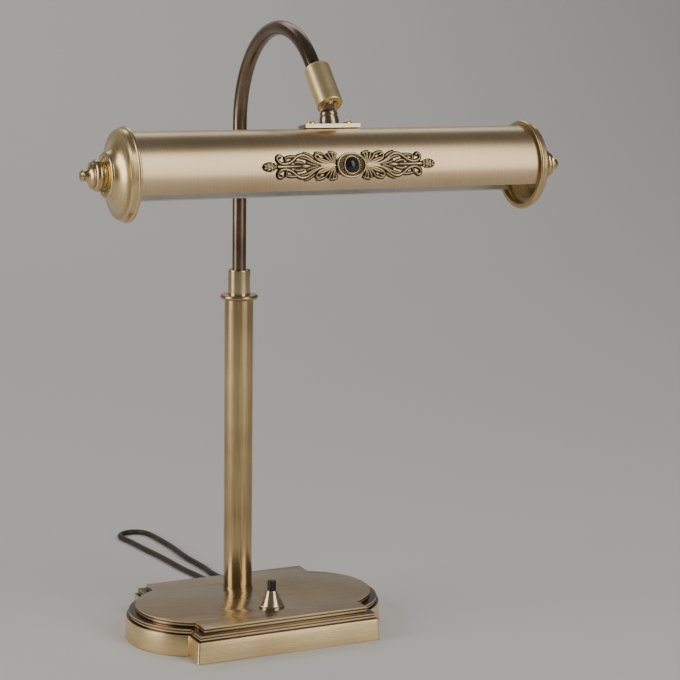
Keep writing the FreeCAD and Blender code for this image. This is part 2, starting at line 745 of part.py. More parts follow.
# ---- shade fittings: bell, plate, two screws
running = S["stud_radius"] + S["slide_gap"]
turned("bell_turning", [
    (running, plate_top),
    (S["bell_radius"], plate_top),
    (S["bell_radius"], plate_top + 1.2),
    (S["bell_radius"] - 1.1, plate_top + S["bell_height"] * 0.62, -0.04),
    (S["bell_neck"], plate_top + S["bell_height"], -0.22),
    (running, plate_top + S["bell_height"]),
], "bell", shade_place)
plate_blank = box("plate_blank", S["plate_length"], S["plate_width"], S["plate_thick"],
                  Vector(0, 0, float(top)))
tools = [cylinder("plate_middle_hole", running, 20, at(0, 0, top - 5))]
for side in (-1, 1):
    spot = at(float(S["screw_spacing"]) / 2 * side, 0, top - 5)
    tools.append(cylinder(f"plate_screw_hole_{side + 2}", S["screw_shank"] + 0.05, 20, spot))
node(minus("plate_cut", plate_blank, *tools), "shade_plate", shade_place)
for side, word in ((-1, "left"), (1, "right")):
    screw = turned(f"screw_{word}_turning", [
        (0, -S["screw_length"]),
        (S["screw_shank"], -S["screw_length"]),
        (S["screw_shank"], 0),
        (S["screw_head"], 0),
        (S["screw_head"], 0.8),
        (0, S["screw_head_height"], -1, dome(S["screw_head"], S["screw_head_height"] - 0.8)),
    ])
    drive = box(f"screw_{word}_drive", 1.0, 10, 5, Vector(0, 0, float(S["screw_head_height"]) - 1.3))
    node(minus(f"screw_{word}_cut", screw, drive), f"plate_screw_{word}",
         shade_place * at(S["screw_spacing"] * side / 2, 0, plate_top))

# ---- shade tube: a round trough, open along its underside
trough = new_body("trough")
half = S["shade_opening"] / 2
inner = S["shade_radius"] - S["shade_wall"]
section = new_sketch(trough, "trough_section", "YZ_Plane", -(S["shade_half"] + 1.2))
outline(section, [
    (S["shade_radius"] * sine(half), -(S["shade_radius"] * cosine(half))),
    (0, S["shade_radius"], -1, S["shade_radius"]),
    (-(S["shade_radius"] * sine(half)), -(S["shade_radius"] * cosine(half)), -1,
     S["shade_radius"]),
    (-(inner * sine(half)), -(inner * cosine(half))),
    (0, inner, 1, inner),
    (inner * sine(half), -(inner * cosine(half)), 1, inner),
])
pad(trough, section, (S["shade_half"] + 1.2) * 2, "trough_pad")
trough_holes = new_sketch(trough, "trough_holes", "XY_Plane", top + 5)
ring(trough_holes, 0, 0, running)
ring(trough_holes, S["screw_spacing"] / 2, 0, S["screw_shank"] + 0.05)
ring(trough_holes, -(S["screw_spacing"] / 2), 0, S["screw_shank"] + 0.05)
cut(trough, trough_holes, 10, "trough_holes_cut", forwards=False)
node(trough, "shade_tube", shade_place)

# ---- end caps: spun sheet, a rolled rim, a hollow dish and a raised ring round the boss
rim_in = S["shade_radius"] + 0.04
rim_mid = S["cap_radius"] - S["cap_roll"]
deep = S["cap_depth"]
wall = S["cap_wall"]
ring_r = S["cap_bead"]
cap_corners = [
    (rim_in, -S["cap_roll"]),
    (rim_mid, -S["cap_roll"]),
    (S["cap_radius"], 0, -1, S["cap_roll"]),
    (rim_mid, S["cap_roll"], -1, S["cap_roll"]),
    (rim_mid - 0.3, S["cap_roll"] + 3.2),
    (rim_mid - 1.8, S["cap_roll"] + 4.7),
    (ring_r + 1.9, deep - 1.6, 0.12),
    (ring_r, deep + 0.3, -0.24),
    (ring_r - 1.8, deep - 1.3, -0.24),
    (ring_r - 3.6, deep - 2.6),
    (S["finial_radius"] - 1.8, deep - 2.6),
    (S["finial_radius"] - 1.8, deep),
    (2.6, deep),
    (2.6, deep - 2.6 - wall),
    (ring_r - 3.6, deep - 2.6 - wall),
    (ring_r + 3.6, deep - 3.6 - wall),
    (rim_mid - 3.2, S["cap_roll"] + 4.0 - wall, -0.09),
    (rim_mid - 2.2, S["cap_roll"] + 0.4),
    (rim_in, S["cap_roll"] - 0.2),
]
finial_long = S["finial_length"]
bead = S["finial_radius"]
finial_corners = [
    (0, -6),
    (2.55, -6),
    (2.55, 0),
    (bead - 2.3, 0),
    (bead - 2.4, finial_long * 0.15),
    (bead, finial_long * 0.33, -0.17),
    (bead - 2.6, finial_long * 0.485, -0.17),
    (bead - 2.3, finial_long * 0.56),
    (S["finial_tip"] - 0.8, finial_long * 0.84, 0.14),
    (S["finial_tip"], finial_long * 0.91),
    (S["finial_tip"] - 1.4, finial_long * 0.985),
    (0, finial_long),
]
for side, word in ((-1, "left"), (1, "right")):
    outwards = Placement(Vector(side * float(S["shade_half"]), 0, 0),
                         Rotation(Vector(0, 1, 0), 90 * side))
    turned(f"cap_{word}", cap_corners, f"end_cap_{word}", shade_place * outwards)
    seat = outwards * at(0, 0, deep)
    turned(f"finial_{word}_turning", finial_corners, f"finial_{word}", shade_place * seat)

# ---- lamp bracket: a strip under the shade's crown with two ears, each with a lampholder
strip_block = box("strip_block", S["bracket_length"], S["bracket_width"], 5,
                  Vector(0, 0, float(strip_floor)))
ear_low = -(S["holder_radius"] - 1)
ears = []
for side in (-1, 1):
    ear = box(f"ear_{side + 2}", S["bracket_sheet"], S["bracket_width"] + 6, strip_floor - ear_low + 1,
              Vector(side * float(S["bracket_gap"] + S["bracket_sheet"]) / 2, 0, float(ear_low)))
    ears.append(ear)
crown = cylinder("crown", inner - 0.1, S["bracket_length"] + 10,
                 at(-(S["bracket_length"] / 2) - 5, 0, 0, (0, 1, 0), 90))
bracket_solid = doc.addObject("Part::Common", "bracket_fitted")
bracket_solid.Base = plus("bracket_parts", strip_block, *ears)
bracket_solid.Tool = crown
tools = [cylinder("strip_middle_hole", running, 20, at(0, 0, strip_floor - 5))]
for side in (-1, 1):
    spot = at(float(S["screw_spacing"]) / 2 * side, 0, strip_floor - 5)
    tools.append(cylinder(f"strip_screw_hole_{side + 2}", S["screw_shank"] + 0.02, 20, spot))
node(minus("bracket_cut", bracket_solid, *tools), "lamp_bracket", shade_place)
holder_corners = [
    (0, 0),
    (S["holder_radius"] - 1, 0),
    (S["holder_radius"] - 1, S["holder_length"] * 0.3),
    (S["holder_radius"], S["holder_length"] * 0.33),
    (S["holder_radius"], S["holder_length"] - 1),
    (S["holder_radius"] - 1, S["holder_length"]),
    (S["bulb_cap_radius"] + 0.6, S["holder_length"]),
    (S["bulb_cap_radius"] + 0.6, S["holder_length"] - S["bulb_cap_length"] - 2),
    (0, S["holder_length"] - S["bulb_cap_length"] - 2),
]
round_end = S["bulb_radius"] * 0.8
bulb_corners = [
    (0, 0),
    (S["bulb_cap_radius"], 0),
    (S["bulb_cap_radius"] + 0.3, 2.5),
    (S["bulb_radius"], 11, 0.1),
    (S["bulb_radius"], S["bulb_length"] - round_end),
    (0, S["bulb_length"], -1, dome(S["bulb_radius"], round_end)),
]
for side, word in ((-1, "left"), (1, "right")):
    ear_face = float(S["bracket_gap"]) / 2 + float(S["bracket_sheet"])
    outwards = Placement(Vector(side * ear_face, 0, 0), Rotation(Vector(0, 1, 0), 90 * side))
    turned(f"holder_{word}", holder_corners, f"lampholder_{word}", shade_place * outwards)
    mouth = outwards * at(0, 0, S["holder_length"] + 0.1)
    turned(f"bulb_{word}_glass", bulb_corners, f"bulb_{word}", shade_place * mouth)
    turned(f"bulb_{word}_cap", [
        (0, -S["bulb_cap_length"] - 2),
        (2.4, -S["bulb_cap_length"] - 2),
        (3.0, -S["bulb_cap_length"]),
        (S["bulb_cap_radius"] - 1, -S["bulb_cap_length"]),
        (S["bulb_cap_radius"], -S["bulb_cap_length"] + 2),
        (S["bulb_cap_radius"], 0),
        (0, 0),
    ], f"bulb_cap_{word}", shade_place * mouth)

# ---- ornament on the front of the shade: leafy arms with bud ends, an oval frame, a stone
long = S["ornament_length"] / 2
high = S["ornament_height"] / 2
upper = [
    (0.09, 0.45, 0), (0.15, 0.66, 0.2), (0.22, 0.98, 0.2), (0.29, 0.50, 0.2), (0.37, 0.93, -0.2),
    (0.45, 0.42, 0.2), (0.53, 0.78, -0.2), (0.62, 0.30, 0.2), (0.70, 0.50, -0.2), (0.79, 0.16, 0.2),
    (0.87, 0.30, -0.2), (0.93, 0.20, -0.2),
]


def bowed(x, z, bow):
    if bow == 0:
        return (x, z)
    return (x, z, bow)


arm_corners = []
for x, z, bow in upper:
    arm_corners.append(bowed(long * x, high * z, -bow))
arm_corners.append((long, 0, 0.12))
previous = upper[-1]
arm_corners.append((long * previous[0], -(high * previous[1]), 0.12))
for i in range(len(upper) - 2, -1, -1):
    x, z, bow = upper[i]
    arm_corners.append(bowed(long * x, -(high * z), -upper[i + 1][2]))
for i, (x, z, bow) in enumerate(upper):
    last = None if i == 0 else bow
    corner = (-(long * x), -(high * z))
    arm_corners.append(corner if last is None else bowed(corner[0], corner[1], -bow))
arm_corners.append((-long, 0, 0.12))
arm_corners.append((-(long * previous[0]), high * previous[1], 0.12))
for i in range(len(upper) - 2, -1, -1):
    x, z, bow = upper[i]
    arm_corners.append(bowed(-(long * x), high * z, -upper[i + 1][2]))
leaf = new_body("leaf")
leaf_sketch = new_sketch(leaf, "leaf_outline", "XZ_Plane", 0)
outline(leaf_sketch, arm_corners)
pad(leaf, leaf_sketch, 60, "leaf_pad")
count = 0
for along in (-1, 1):
    for up in (-1, 1):
        for from_x, to_x, from_z, to_z in ((0.46, 0.63, 0.20, 0.44), (0.26, 0.345, 0.25, 0.42)):
            slim = new_sketch(leaf, f"leaf_window_{count}", "XZ_Plane", 0)
            a = (long * from_x * along, high * from_z * up)
            b = (long * to_x * along, high * from_z * up)
            middle_x = long * ((from_x + to_x) / 2) * along
            crest = (middle_x, high * to_z * up)
            bow = 0.14 * along * up
            outline(slim, [(a[0], a[1], -bow), (b[0], b[1], 0.5 * bow),
                           (crest[0], crest[1], -bow)])
            cut(leaf, slim, 80, f"leaf_window_{count}_cut")
            count += 1


def around_shade(name, low, thick):
    """A round skin on the shade tube, as thick as an ornament piece."""
    place = at(-(S["ornament_length"]), 0, 0, (0, 1, 0), 90)
    outside = cylinder(name + "_outside", top + low + thick, S["ornament_length"] * 2, place)
    if isinstance(low, Dim) or low:
        base = top + low
    else:
        base = top + 0.0
    inside_core = cylinder(name + "_inside", base, S["ornament_length"] * 2, place)
    return minus(name + "_skin", outside, inside_core)


plate_skin = around_shade("plate", 0.03, S["ornament_thick"] - 0.03)
leaf_fitted = doc.addObject("Part::Common", "leaf_fitted")
leaf_fitted.Base = leaf
leaf_fitted.Tool = plate_skin
node(leaf_fitted, "ornament", shade_place)
oval = new_body("oval")
oval_sketch = new_sketch(oval, "oval_outline", "XZ_Plane", 0)
wide_half = S["frame_length"] / 2
high_half = S["frame_height"] / 2
outline(oval_sketch, [
    (wide_half, 0, -0.19),
    (0, high_half, -0.19),
    (-wide_half, 0, -0.19),
    (0, -high_half, -0.19),
])
pad(oval, oval_sketch, 60, "oval_pad")
well = new_sketch(oval, "oval_well", "XZ_Plane", 0)
ring(well, 0, 0, S["stone_radius"] + 0.15)
cut(oval, well, 80, "oval_well_cut")
oval_fitted = doc.addObject("Part::Common", "oval_fitted")
oval_fitted.Base = oval
oval_fitted.Tool = around_shade("oval", S["ornament_thick"] + 0.02, S["frame_thick"])
node(oval_fitted, "ornament_frame", shade_place)
stone_seat = S["ornament_thick"] + S["shade_radius"] + 0.02
stone = turned("stone", [
    (0, -2),
    (S["stone_radius"], -2),
    (S["stone_radius"], S["frame_thick"] * 0.7),
    (0, S["frame_thick"] * 0.7 + S["stone_rise"], -1, dome(S["stone_radius"], S["stone_rise"])),
])
stone.Placement = at(0, -stone_seat, 0, (1, 0, 0), 90)
stone_cut = cylinder("stone_seat", stone_seat, 60, at(-30, 0, 0, (0, 1, 0), 90))
node(minus("stone_fitted", stone, stone_cut), "ornament_stone", shade_place)

# ---- switch: conical collar on the base, block and neck under the top, push button
neck_top = base_top + S["neck_height"]
button_low = neck_top + S["button_travel"] + 0.3
turned("collar", [
    (S["switch_neck"] + S["fit_gap"], base_top),
    (S["collar_foot"], base_top),
    (S["collar_foot"], base_top + 1.4),
    (S["collar_foot"] - 0.9, base_top + 1.9),
    (S["collar_top"] + 0.4, base_top + S["collar_height"] - 0.6, 0.03),
    (S["collar_top"], base_top + S["collar_height"], -0.2),
    (S["button_radius"] + S["fit_gap"], base_top + S["collar_height"]),
    (S["button_radius"] + S["fit_gap"], neck_top + 0.4),
    (S["switch_neck"] + S["fit_gap"], neck_top + 0.4),
], "switch_collar", at(S["switch_x"], S["switch_y"], 0))
under = base_top - S["cover_top"] - 0.02
switch_box = box("switch_box", S["switch_block"], S["switch_block"], S["switch_depth"],
                 Vector(0, 0, float(under - S["switch_depth"])))
switch_thread = cylinder("switch_thread", S["switch_neck"], neck_top - under + 2, at(0, 0, under - 2))
node(plus("switch_parts", switch_box, switch_thread), "switch_block",
     at(S["switch_x"], S["switch_y"], 0))
button_top = base_top + S["collar_height"] + S["button_show"]
turned("button_turning", [
    (0, button_low),
    (S["button_radius"], button_low),
    (S["button_radius"], button_top - 1.0),
    (S["button_radius"] - 1.0, button_top - 0.1, -0.2),
    (0, button_top),
], "button", at(S["switch_x"], S["switch_y"], 0))

# ---- mains cord
wall_y = S["base_half_width"] - 0.2
cord_start = float(wall_y + S["bushing_show"])
turned("bushing", [
    (0, -6.5),
    (S["bushing_neck"], -6.5),
    (S["bushing_neck"], 0),
    (S["bushing_radius"], 0),
    (S["bushing_radius"], S["bushing_show"] - 1),
    (S["bushing_radius"] - 1, S["bushing_show"], -0.2),
    (0, S["bushing_show"]),
], "cord_bushing", at(S["cord_exit_x"], wall_y, S["cord_exit_z"], (1, 0, 0), -90))

thick = float(S["cord_radius"]) * 2
lie = float(S["cord_radius"])
rise = float(S["cord_pitch"])
middle = float(S["hank_middle"])
outer = float(S["hank_half"])
near = float(S["hank_near"])
far = near + float(S["hank_run"])
hank_in = near + 16.0
LEAD = [
    (float(S["cord_exit_x"]), cord_start, float(S["cord_exit_z"])),
    (float(S["cord_exit_x"]), 94.0, float(S["cord_exit_z"])),
    (13.6, 111.0, 7.4),
    (11.4, 131.0, 3.4),
    (8.8, 154.0, lie),
    (3.6, 186.0, lie),
    (0.9, 226.0, lie),
    (-4.9, 264.0, lie),
    (-8.0, 294.0, lie),
    (-12.3, 312.0, lie),
    (-6.6, 323.6, lie),
    (5.3, 327.6, lie),
    (16.3, 321.5, lie),
    (20.2, 309.0, lie),
    (21.6, 289.0, lie),
    (23.4, 256.0, lie),
    (21.9, 217.0, lie),
    (25.3, 180.0, lie),
    (24.4, 157.0, lie),
    (26.0, 141.5, lie),
    (32.6, 129.0, lie),
    (43.6, middle + outer, lie),
    (hank_in, middle + outer, lie),
]
plug_turn = 165.0
plug_spot = Vector(-13.0, 90.0, float(S["plug_thick"]) / 2)
plug_way = Vector(math.cos(math.radians(plug_turn)), math.sin(math.radians(plug_turn)), 0)
front = middle - outer + rise / 2
TAIL = [
    (near, front, lie),
    (20.0, front, lie),
    (8.5, front + 0.5, lie + 0.9),
    tuple(plug_spot - plug_way * 10.5),
    tuple(plug_spot),
]


def cord_path(points, name):
    """Straight runs joined by tangent arcs, each as large as its two runs allow."""
    points = [Vector(*p) for p in points]
    edges = []
    radii = []
    start = points[0]
    for i in range(1, len(points) - 1):
        before = points[i] - points[i - 1]
        after = points[i + 1] - points[i]
        bend = before.getAngle(after)
        shorter = min(before.Length, after.Length)
        reach = 0.45 * shorter
        arc_radius = reach / math.tan(bend / 2)
        radii.append(round(arc_radius / thick, 1))
        into = points[i] - before.normalize() * reach
        out = points[i] + after.normalize() * reach
        inwards = ((into + out) * 0.5 - points[i]).normalize()
        centre = points[i] + inwards * (arc_radius / math.cos(bend / 2))
        bow = centre - inwards * arc_radius
        edges.append(Part.LineSegment(start, into).toShape())
        edges.append(Part.Arc(into, bow, out).toShape())
        start = out
    edges.append(Part.LineSegment(start, points[-1]).toShape())
    path = Part.Wire(edges)
    print(name, "length", round(path.Length, 1), "radii in diameters", radii)
    return path


def cord_tube(path, start, direction, name):
    shape = tube_on(path, start, direction, lie)
    full = math.pi * lie**2 * path.Length
    print(name, "volume over section times length", round(shape.Volume / full, 5))
    feature = doc.addObject("Part::Feature", name)
    feature.Shape = shape
    node(feature, name)


lead_path = cord_path(LEAD, "cord_lead")
cord_tube(lead_path, Vector(*LEAD[0]), Vector(0, 1, 0), "cord_lead")
tail_path = cord_path(TAIL, "cord_tail")
cord_tube(tail_path, Vector(*TAIL[0]), Vector(-1, 0, 0), "cord_tail")

# The hank: the cord climbs on to the upper layer, winds inwards, goes down along its middle run,
# and winds outwards on the table.
hank_edges = []
hank_points = []
low = lie
upstairs = lie + rise


def hank_line(a, b):
    hank_edges.append(Part.LineSegment(Vector(*a), Vector(*b)).toShape())
    for i in range(21):
        hank_points.append(Vector(*a) + (Vector(*b) - Vector(*a)) * (i / 20))


def hank_arc(a, m, b):
    edge = Part.Arc(Vector(*a), Vector(*m), Vector(*b)).toShape()
    hank_edges.append(edge)
    first, last = edge.ParameterRange
    steps = [edge.valueAt(first + (last - first) * i / 20) for i in range(21)]
    if steps[0].distanceToPoint(Vector(*a)) > 1e-6:
        steps.reverse()
    hank_points.extend(steps)


def hank_climb(x0, x1, y, z0, z1):
    """A gentle S from one layer to the other along a run."""
    reach = (x1 - x0) / 2
    drop = (z1 - z0) / 2
    curve = (reach**2 + drop**2) / (2 * abs(drop))
    angle = math.asin(abs(reach) / curve) / 2
    sx = math.copysign(1, reach)
    sz = math.copysign(1, drop)
    dx = curve * math.sin(angle) * sx
    dz = curve * (1 - math.cos(angle)) * sz
    mid = (x0 + reach, y, z0 + drop)
    hank_arc((x0, y, z0), (x0 + dx, y, z0 + dz), mid)
    hank_arc(mid, (x1 - dx, y, z1 - dz), (x1, y, z1))


def hank_fold(x, y0, y1, z):
    """A half turn at one end of the hank, out to the right when it starts at the back."""
    bulge = abs(y1 - y0) / 2
    side = 1 if y0 > y1 else -1
    hank_arc((x, y0, z), (x + side * bulge, (y0 + y1) / 2, z), (x, y1, z))


back = [middle + outer - rise * k for k in range(3)]
fore = [middle - outer + rise * (k + 0.5) for k in range(2)]
hank_line((hank_in, back[0], low), (hank_in + thick, back[0], low))
hank_climb(hank_in + thick, far, back[0], low, upstairs)
hank_fold(far, back[0], fore[0], upstairs)
hank_line((far, fore[0], upstairs), (near, fore[0], upstairs))
hank_fold(near, fore[0], back[1], upstairs)
hank_line((near, back[1], upstairs), (far, back[1], upstairs))
hank_fold(far, back[1], fore[1], upstairs)
hank_line((far, fore[1], upstairs), (near, fore[1], upstairs))
hank_fold(near, fore[1], back[2], upstairs)
hank_climb(near, far, back[2], upstairs, low)
hank_fold(far, back[2], fore[1], low)
hank_line((far, fore[1], low), (near, fore[1], low))
hank_fold(near, fore[1], back[1], low)
hank_line((near, back[1], low), (far, back[1], low))
hank_fold(far, back[1], fore[0], low)
hank_line((far, fore[0], low), (near, fore[0], low))
hank_path = Part.Wire(hank_edges)
cord_tube(hank_path, Vector(hank_in, back[0], low), Vector(1, 0, 0), "cord_hank")
least = 1e9
runs = [0.0]
for a, b in zip(hank_points, hank_points[1:]):
    runs.append(runs[-1] + a.distanceToPoint(b))
for i in range(0, len(hank_points)):
    for j in range(i + 1, len(hank_points)):
        if runs[j] - runs[i] > 4 * thick:
            least = min(least, hank_points[i].distanceToPoint(hank_points[j]))
print("hank length", round(hank_path.Length, 1), "least gap to itself", round(least - thick, 2))
print("whole cord", round(lead_path.Length + hank_path.Length + tail_path.Length, 1))

# ---- two-pin plug: flat, wider at the pins, its long edges rounded
plug = new_body("plug")
plug_side = new_sketch(plug, "plug_outline", "XY_Plane", -(S["plug_thick"] / 2))
relief = S["plug_relief"]
outline(plug_side, [
    (relief, -6),
    (relief + S["plug_length"], -(S["plug_width"] / 2), 0.06),
    (relief + S["plug_length"], S["plug_width"] / 2),
    (relief, 6, 0.06),
])
pad(plug, plug_side, S["plug_thick"], "plug_pad")
rounded(plug, 3.2, "plug_rounding",
        lambda e: e.BoundBox.ZLength < 0.02
        and e.BoundBox.XLength > 2)
relief_cone = doc.addObject("Part::Cone", "relief_cone")
bind(relief_cone, "Radius1", S["cord_radius"] + 1.0)
bind(relief_cone, "Radius2", S["plug_thick"] / 2 - 1.4)
bind(relief_cone, "Height", relief + 0.5)
relief_cone.Placement = at(0, 0, 0, (0, 1, 0), 90)
plug_place = Placement(plug_spot, Rotation(Vector(0, 0, 1), plug_turn))
node(plus("plug_parts", plug, relief_cone), "plug_body", plug_place)
for side, word in ((-1, "left"), (1, "right")):
    turned(f"pin_{word}", [
        (0, 0),
        (S["pin_radius"], 0),
        (S["pin_radius"], S["pin_length"] - 1.2),
        (0, S["pin_length"], -1, dome(S["pin_radius"], 1.2)),
    ], f"plug_pin_{word}",
        plug_place * at(relief + S["plug_length"], S["pin_spacing"] * side / 2, 0, (0, 1, 0), 90))

# ---- every object is checked before anything is written
doc.recompute()
for thing in doc.Objects:
    for word in ("Invalid", "Error"):
        if word in thing.State:
            raise RuntimeError(f"{thing.Name} is in state {thing.State}")
for label, thing in nodes.items():
    if thing.Shape.isNull() or not thing.Shape.isValid():
        raise RuntimeError(f"{label} has no valid shape")
    if len(thing.Shape.Solids) != 1:
        raise RuntimeError(f"{label} has {len(thing.Shape.Solids)} solids")
os.makedirs("parts", exist_ok=True)
for label, thing in nodes.items():
    thing.Shape.exportStep(f"parts/{label}.step")
print(len(nodes), "pieces written")
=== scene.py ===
import math
import bpy
from mathutils import Matrix, Vector


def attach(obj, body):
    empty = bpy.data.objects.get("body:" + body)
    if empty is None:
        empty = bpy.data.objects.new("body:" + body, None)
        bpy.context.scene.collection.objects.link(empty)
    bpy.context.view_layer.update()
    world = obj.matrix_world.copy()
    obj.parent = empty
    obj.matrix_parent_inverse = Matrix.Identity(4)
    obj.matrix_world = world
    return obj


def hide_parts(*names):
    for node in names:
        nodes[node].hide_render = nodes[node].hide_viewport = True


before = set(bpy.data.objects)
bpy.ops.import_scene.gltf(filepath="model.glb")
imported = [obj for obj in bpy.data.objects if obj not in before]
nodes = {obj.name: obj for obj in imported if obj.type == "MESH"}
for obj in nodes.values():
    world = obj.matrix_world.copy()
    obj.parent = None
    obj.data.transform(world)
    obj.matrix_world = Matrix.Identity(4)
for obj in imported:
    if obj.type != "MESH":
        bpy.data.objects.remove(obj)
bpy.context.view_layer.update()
bpy.ops.object.select_all(action="DESELECT")

# The picture: a long lens, a little above the shade, turned 26 degrees to the left of the
# lamp's front, with the table it stands on and soft light from large panels.
camera_place = (-0.6571, -1.5029, 0.5289)
camera_turn = math.radians(26.11)
camera_dip = math.radians(9.29)
camera_roll = math.radians(-0.764)
focal_pixels, frame_pixels, film_width, frame_shift = 1955.2, 680.0, 36.0, -0.0124
camera_data = bpy.data.cameras.new("picture")
camera = bpy.data.objects.new("picture", camera_data)
bpy.context.scene.collection.objects.link(camera)
ahead = Vector((math.sin(camera_turn) * math.cos(camera_dip),
                math.cos(camera_turn) * math.cos(camera_dip), -math.sin(camera_dip)))
across = Vector((math.cos(camera_turn), -math.sin(camera_turn), 0))
down = ahead.cross(across)
rolled_across = across * math.cos(camera_roll) + down * math.sin(camera_roll)
rolled_down = down * math.cos(camera_roll) - across * math.sin(camera_roll)
turn_of_camera = Matrix((rolled_across, -rolled_down, -ahead)).transposed()
camera.matrix_world = Matrix.Translation(camera_place) @ turn_of_camera.to_4x4()
camera_data.sensor_width = film_width
camera_data.lens = focal_pixels * film_width / frame_pixels
camera_data.shift_y = frame_shift
bpy.context.scene.camera = camera

table_depth, widen, wall_height, sweep = 7.0, 2.0, 4.5, 1.6
back_line, flat_enough, sweep_steps = 3, 0.01, 24
bpy.ops.mesh.primitive_plane_add(size=table_depth, location=(0, 0, 0))
table = bpy.context.active_object
table.name = "table"
table.scale = (widen, 1.0, 1.0)
bpy.ops.object.transform_apply(location=True, rotation=True, scale=True)


def take_back_edge():
    """Selects the table's back edge where it lies flat, in edit mode."""
    bpy.ops.object.mode_set(mode="OBJECT")
    corners = table.data.vertices
    for corner in corners:
        corner.select = corner.co.y > back_line and abs(corner.co.z) < flat_enough
    for edge in table.data.edges:
        edge.select = all(corners[i].select for i in edge.vertices)
    for face in table.data.polygons:
        face.select = False
    bpy.ops.object.mode_set(mode="EDIT")
    bpy.ops.mesh.select_mode(type="EDGE")


take_back_edge()
bpy.ops.mesh.extrude_region_move(TRANSFORM_OT_translate={"value": (0, 0, wall_height)})
take_back_edge()
bpy.ops.mesh.bevel(offset=sweep, segments=sweep_steps)
bpy.ops.object.mode_set(mode="OBJECT")
bpy.ops.object.shade_smooth()
table_paint = bpy.data.materials.new("table_paint")
table_paint.use_nodes = True
table_shader = table_paint.node_tree.nodes["Principled BSDF"]
table_shader.inputs["Base Color"].default_value = (0.74, 0.725, 0.70, 1)
table_shader.inputs["Roughness"].default_value = 0.7
table.data.materials.append(table_paint)

world = bpy.data.worlds.new("studio")
bpy.context.scene.world = world
world.use_nodes = True
soft_sky = world.node_tree.nodes["Background"]
soft_sky.inputs["Color"].default_value = (0.30, 0.30, 0.31, 1)
soft_sky.inputs["Strength"].default_value = 0.48
for panel_name, spot, aim, wide, tall, power, tint in (
        ("front_panel", (0.80, -1.66, 1.18), (0, -0.12, 0.30), 1.15, 2.2, 24, (1.0, 0.965, 0.925)),
        ("left_panel", (-1.75, 0.10, 0.75), (0, 0, 0.25), 0.95, 1.4, 17, (1.0, 0.96, 0.90)),
        ("back_panel", (0.6, 2.2, 2.5), (0.6, 1.9, 0.0), 3.6, 1.4, 24, (1.0, 0.98, 0.95))):
    panel_data = bpy.data.lights.new(panel_name, "AREA")
    panel_data.shape = "RECTANGLE"
    panel_data.size, panel_data.size_y = wide, tall
    panel_data.energy = power
    panel_data.color = tint
    panel = bpy.data.objects.new(panel_name, panel_data)
    bpy.context.scene.collection.objects.link(panel)
    panel.location = spot
    panel.rotation_euler = (Vector(aim) - Vector(spot)).to_track_quat("-Z", "Y").to_euler()

# The mains cord: a round, limp, dark brown twin lead. It leaves a bushing in the back of the
# base, lies in one long loop to the back, and what is left over is folded into a flat hank
# of two layers close behind the base, the upper one shorter, with the plug beside it.
cord_radius = 0.0026
cord_points = [
    (0.0140, 0.0801, 0.0100), (0.0140, 0.0940, 0.0100), (0.0136, 0.1110, 0.0074),
    (0.0114, 0.1310, 0.0034), (0.0088, 0.1540, 0.0026), (0.0036, 0.1860, 0.0026),
    (0.0009, 0.2260, 0.0026), (-0.0049, 0.2640, 0.0026), (-0.0080, 0.2940, 0.0026),
    (-0.0123, 0.3120, 0.0026), (-0.0066, 0.3236, 0.0026), (0.0053, 0.3276, 0.0026),
    (0.0163, 0.3215, 0.0026), (0.0202, 0.3090, 0.0026), (0.0216, 0.2890, 0.0026),
    (0.0234, 0.2560, 0.0026), (0.0219, 0.2170, 0.0026), (0.0253, 0.1800, 0.0026),
    (0.0244, 0.1570, 0.0026), (0.0260, 0.1415, 0.0026), (0.0326, 0.1290, 0.0026),
    (0.0436, 0.1222, 0.0026), (0.0559, 0.1222, 0.0026),
]
# Each fold of the hank: the end it turns at, the run it comes from and the run it goes to.
near_end, far_end, upper_far_end = 0.0364, 0.0959, 0.0827
back_runs = (0.1222, 0.11655, 0.1109)
fore_runs = (0.084625, 0.090275)
lower, upper = 0.0026, 0.00825
hank_folds = (
    (far_end, back_runs[0], fore_runs[0], lower),
    (near_end, fore_runs[0], back_runs[1], lower),
    (far_end, back_runs[1], fore_runs[1], lower),
    (near_end, fore_runs[1], back_runs[2], lower),
    (upper_far_end, back_runs[2], fore_runs[1], upper),
    (near_end, fore_runs[1], back_runs[1], upper),
    (upper_far_end, back_runs[1], fore_runs[0], upper),
)
# A half circle is drawn by six points that stand off it by these parts of its radius.
stand_off, cut_back = 0.414, 0.586
for fold_x, y_in, y_out, fold_z in hank_folds:
    side = -1 if fold_x == near_end else 1
    bulge = abs(y_in - y_out) / 2
    lean = 1 if y_out > y_in else -1
    for reach, slip in ((-stand_off, 0), (stand_off, 0), (1.0, cut_back)):
        cord_points.append((fold_x + side * bulge * reach, y_in + lean * bulge * slip, fold_z))
    for reach, slip in ((1.0, cut_back), (stand_off, 0), (-stand_off, 0)):
        cord_points.append((fold_x + side * bulge * reach, y_out - lean * bulge * slip, fold_z))
cord_points += [
    (0.0420, 0.084625, 0.00825), (0.0270, 0.0843, 0.00825), (0.0150, 0.0846, 0.0026),
    (0.0060, 0.0855, 0.0030),
    (-0.00286, 0.08728, 0.00685), (-0.0130, 0.0900, 0.00685),
]
cord_curve = bpy.data.curves.new("mains_cord", "CURVE")
cord_curve.dimensions = "3D"
cord_line = cord_curve.splines.new("NURBS")
cord_line.points.add(len(cord_points) - 1)
for point, place in zip(cord_line.points, cord_points):
    point.co = (*place, 1.0)
cord_line.order_u = 3
cord_line.use_endpoint_u = True
cord_line.resolution_u = 10
cord_curve.bevel_depth = cord_radius
cord_curve.bevel_resolution = 5
cord_curve.use_fill_caps = True
mains_cord = bpy.data.objects.new("mains_cord", cord_curve)
bpy.context.scene.collection.objects.link(mains_cord)


